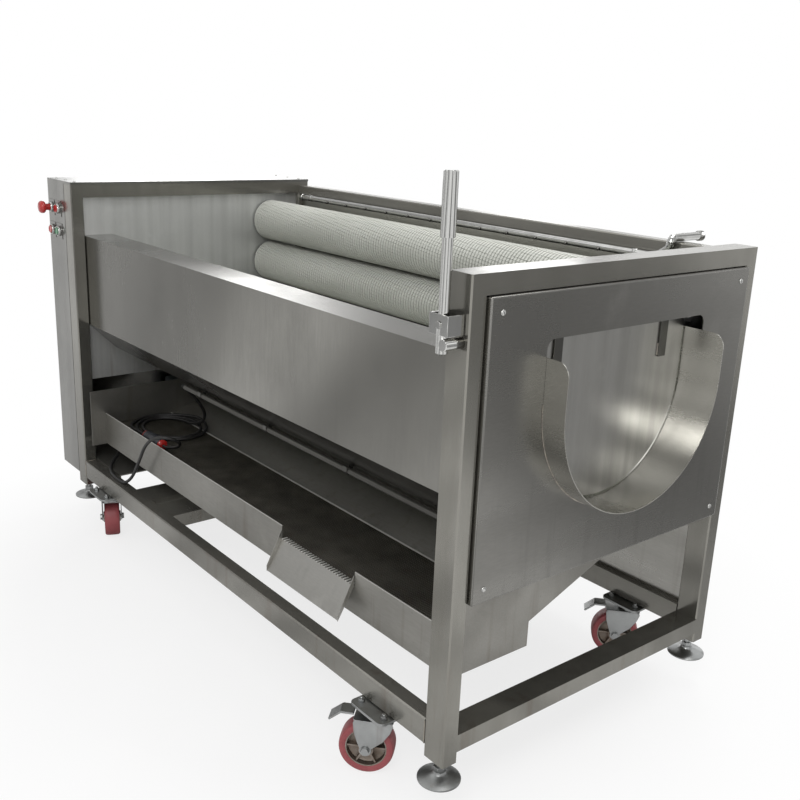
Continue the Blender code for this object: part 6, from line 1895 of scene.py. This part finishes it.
@dataclass
class Studio:
    """The plain studio: pale floor, white surround, soft lamps and the camera at the picture's angle."""

    eye: Point = (2.20255, -1.59405, 1.4111)
    right: Point = (0.62660, 0.77831, 0.04005)
    down: Point = (0.24696, -0.14956, -0.95742)
    ahead: Point = (-0.73918, 0.60981, -0.28592)
    lens: float = 43.76
    sensor: float = 36.0
    surround: float = 1.0
    patches: Pair = (0.35, 1.45)
    windows: tuple[Point, ...] = ((-0.905, 0.402, 0.138), (-0.846, 0.502, 0.178), (-0.680, 0.718, 0.146),
                                  (-0.900, 0.428, 0.080))
    window: float = 2.6
    window_edge: Pair = (0.9972, 0.9988)
    fill: float = 0.62
    floor_in_metal: Pair = (0.30, 1.2)
    floor_radius: float = 30.0
    floor_rim: float = 26.0
    lamps: tuple[tuple[str, Point, Point, Pair, float], ...] = (
        ("key", (2.4, -2.6, 3.2), (0, 0, 0.6), (1.6, 1.2), 46.0),
        ("top", (0.9, 0.5, 3.5), (-0.2, 0, 0.5), (1.8, 1.4), 34.0),
        ("back", (-1.4, 3.0, 3.2), (0, 0, 0.7), (1.4, 1.0), 24.0))

    def make_camera(self) -> None:
        """Set the camera and make it the scene's own."""
        data = bpy.data.cameras.new("camera")
        data.lens, data.sensor_width, data.sensor_fit = self.lens, self.sensor, "HORIZONTAL"
        data.clip_end = 60.0
        camera = linked(bpy.data.objects.new("camera", data))
        columns = (Vector(self.right), -Vector(self.down), -Vector(self.ahead))
        turn = Matrix([[column[row] for column in columns] for row in range(3)]).to_4x4()
        camera.matrix_world = Matrix.Translation(self.eye) @ turn
        bpy.context.scene.camera = camera

    @staticmethod
    def rays(tree: Tree) -> tuple[Socket, Socket]:
        """Return what is 1 on the camera's own rays, and what is 1 on those from metal or glass.

        Args:
            tree: The tree that takes the nodes.

        Returns:
            The two sockets.
        """
        path = tree.nodes.new("ShaderNodeLightPath").outputs
        return path["Is Camera Ray"], worked(tree, "MAXIMUM", path["Is Glossy Ray"],
                                             path["Is Transmission Ray"])

    def make_surround(self) -> None:
        """Make the white surround, its plain fill light and the soft patches that the metals show of it."""
        world = bpy.data.worlds.new("surround")
        world.use_nodes = True
        bpy.context.scene.world = world
        tree = world.node_tree
        background = tree.nodes["Background"].inputs
        background["Color"].default_value = WHITE
        place = tree.nodes.new("ShaderNodeTexCoord").outputs["Generated"]
        patches = mapped(tree, noise_in(tree, place, 3.2, 1.5), *PATCH_RANGE, *self.patches)
        for direction in self.windows:
            along = vector_worked(tree, "DOT_PRODUCT", place, direction)["Value"]
            patches = worked(tree, "ADD", patches, mapped(tree, along, *self.window_edge, 0.0, self.window))
        camera, mirror = self.rays(tree)
        strength = mixed(tree, mirror, self.fill, patches)
        feed(tree, background["Strength"], mixed(tree, camera, strength, self.surround))

    def make_floor(self) -> None:
        """Lay the floor: plain and shaded near the washer, the surround's own white further off."""
        deselect()
        bpy.ops.mesh.primitive_circle_add(vertices=96, radius=self.floor_radius, fill_type="NGON",
                                          location=(0, 0, 0))
        editing()
        bpy.ops.mesh.inset(thickness=self.floor_rim, depth=0.0)
        floor = finished("floor", moved(0, 0, -0.0002))
        material = bpy.data.materials.new("floor_paint")
        material.use_nodes = True
        tree = material.node_tree
        shader = tree.nodes["Principled BSDF"]
        shader.inputs["Roughness"].default_value = 0.9
        place = tree.nodes.new("ShaderNodeTexCoord").outputs["Object"]
        grain = mapped(tree, noise_in(tree, place, 3.0, 3.0), 0.3, 0.7)
        feed(tree, shader.inputs["Base Color"], mixed(tree, grain, (0.86, 0.86, 0.86), (0.90, 0.90, 0.90)))
        glow = tree.nodes.new("ShaderNodeEmission")
        glow.inputs["Color"].default_value = WHITE
        distance = vector_worked(tree, "LENGTH", place)["Value"]
        camera, mirror = self.rays(tree)
        white = mapped(tree, distance, 0.9, 1.5, 0.78, 1.0)
        shown = product(tree, mapped(tree, distance, 1.1, 2.6, 0.45, 1.0), mirror)
        sector = vector_worked(tree, "NORMALIZE", place)["Vector"]
        uneven = mapped(tree, noise_in(tree, sector, 3.4, 1.5), *PATCH_RANGE, *self.floor_in_metal)
        feed(tree, glow.inputs["Strength"], mixed(tree, camera, uneven, 1.0))
        blend = tree.nodes.new("ShaderNodeMixShader")
        layers = (mixed(tree, camera, shown, white), shader.outputs["BSDF"], glow.outputs["Emission"])
        for target, layer in zip(blend.inputs, layers):
            feed(tree, target, layer)
        feed(tree, tree.nodes["Material Output"].inputs["Surface"], blend.outputs["Shader"])
        floor.data.materials.append(material)

    def make_lamp(self, name: str, place: Point, target: Point, size: Pair, power: float) -> None:
        """Hang one soft area lamp and point it.

        Args:
            name: The lamp's name.
            place: Where it hangs.
            target: The point that it faces.
            size: Its two sides.
            power: Its power in watts.
        """
        data = bpy.data.lights.new(name, "AREA")
        data.shape = "RECTANGLE"
        data.size, data.size_y = size
        data.energy = power
        lamp = linked(bpy.data.objects.new(name, data))
        aim = (Vector(target) - Vector(place)).to_track_quat("-Z", "Y")
        lamp.matrix_world = Matrix.Translation(place) @ aim.to_matrix().to_4x4()

    def build(self) -> None:
        """Set the camera, the surround, the floor and the lamps."""
        self.make_camera()
        self.make_surround()
        self.make_floor()
        for lamp in self.lamps:
            self.make_lamp(*lamp)
        bpy.context.scene.view_settings.view_transform = "Standard"


def main() -> None:
    """Build the washer's pieces in order."""
    logging.basicConfig(level=logging.INFO, format="%(name)s %(message)s")
    Studio().build()
    Cords().build()
    dress_solids()
    outlet = OutletEnd()
    outlet.build()
    Gate(outlet).build()
    for assembly in (BrushRollers, TrayScreen, Casters, Feet, Controls, WaterPipes, Housing, Drive, Welds):
        assembly().build()
    deselect()


if __name__ == "__main__":
    main()
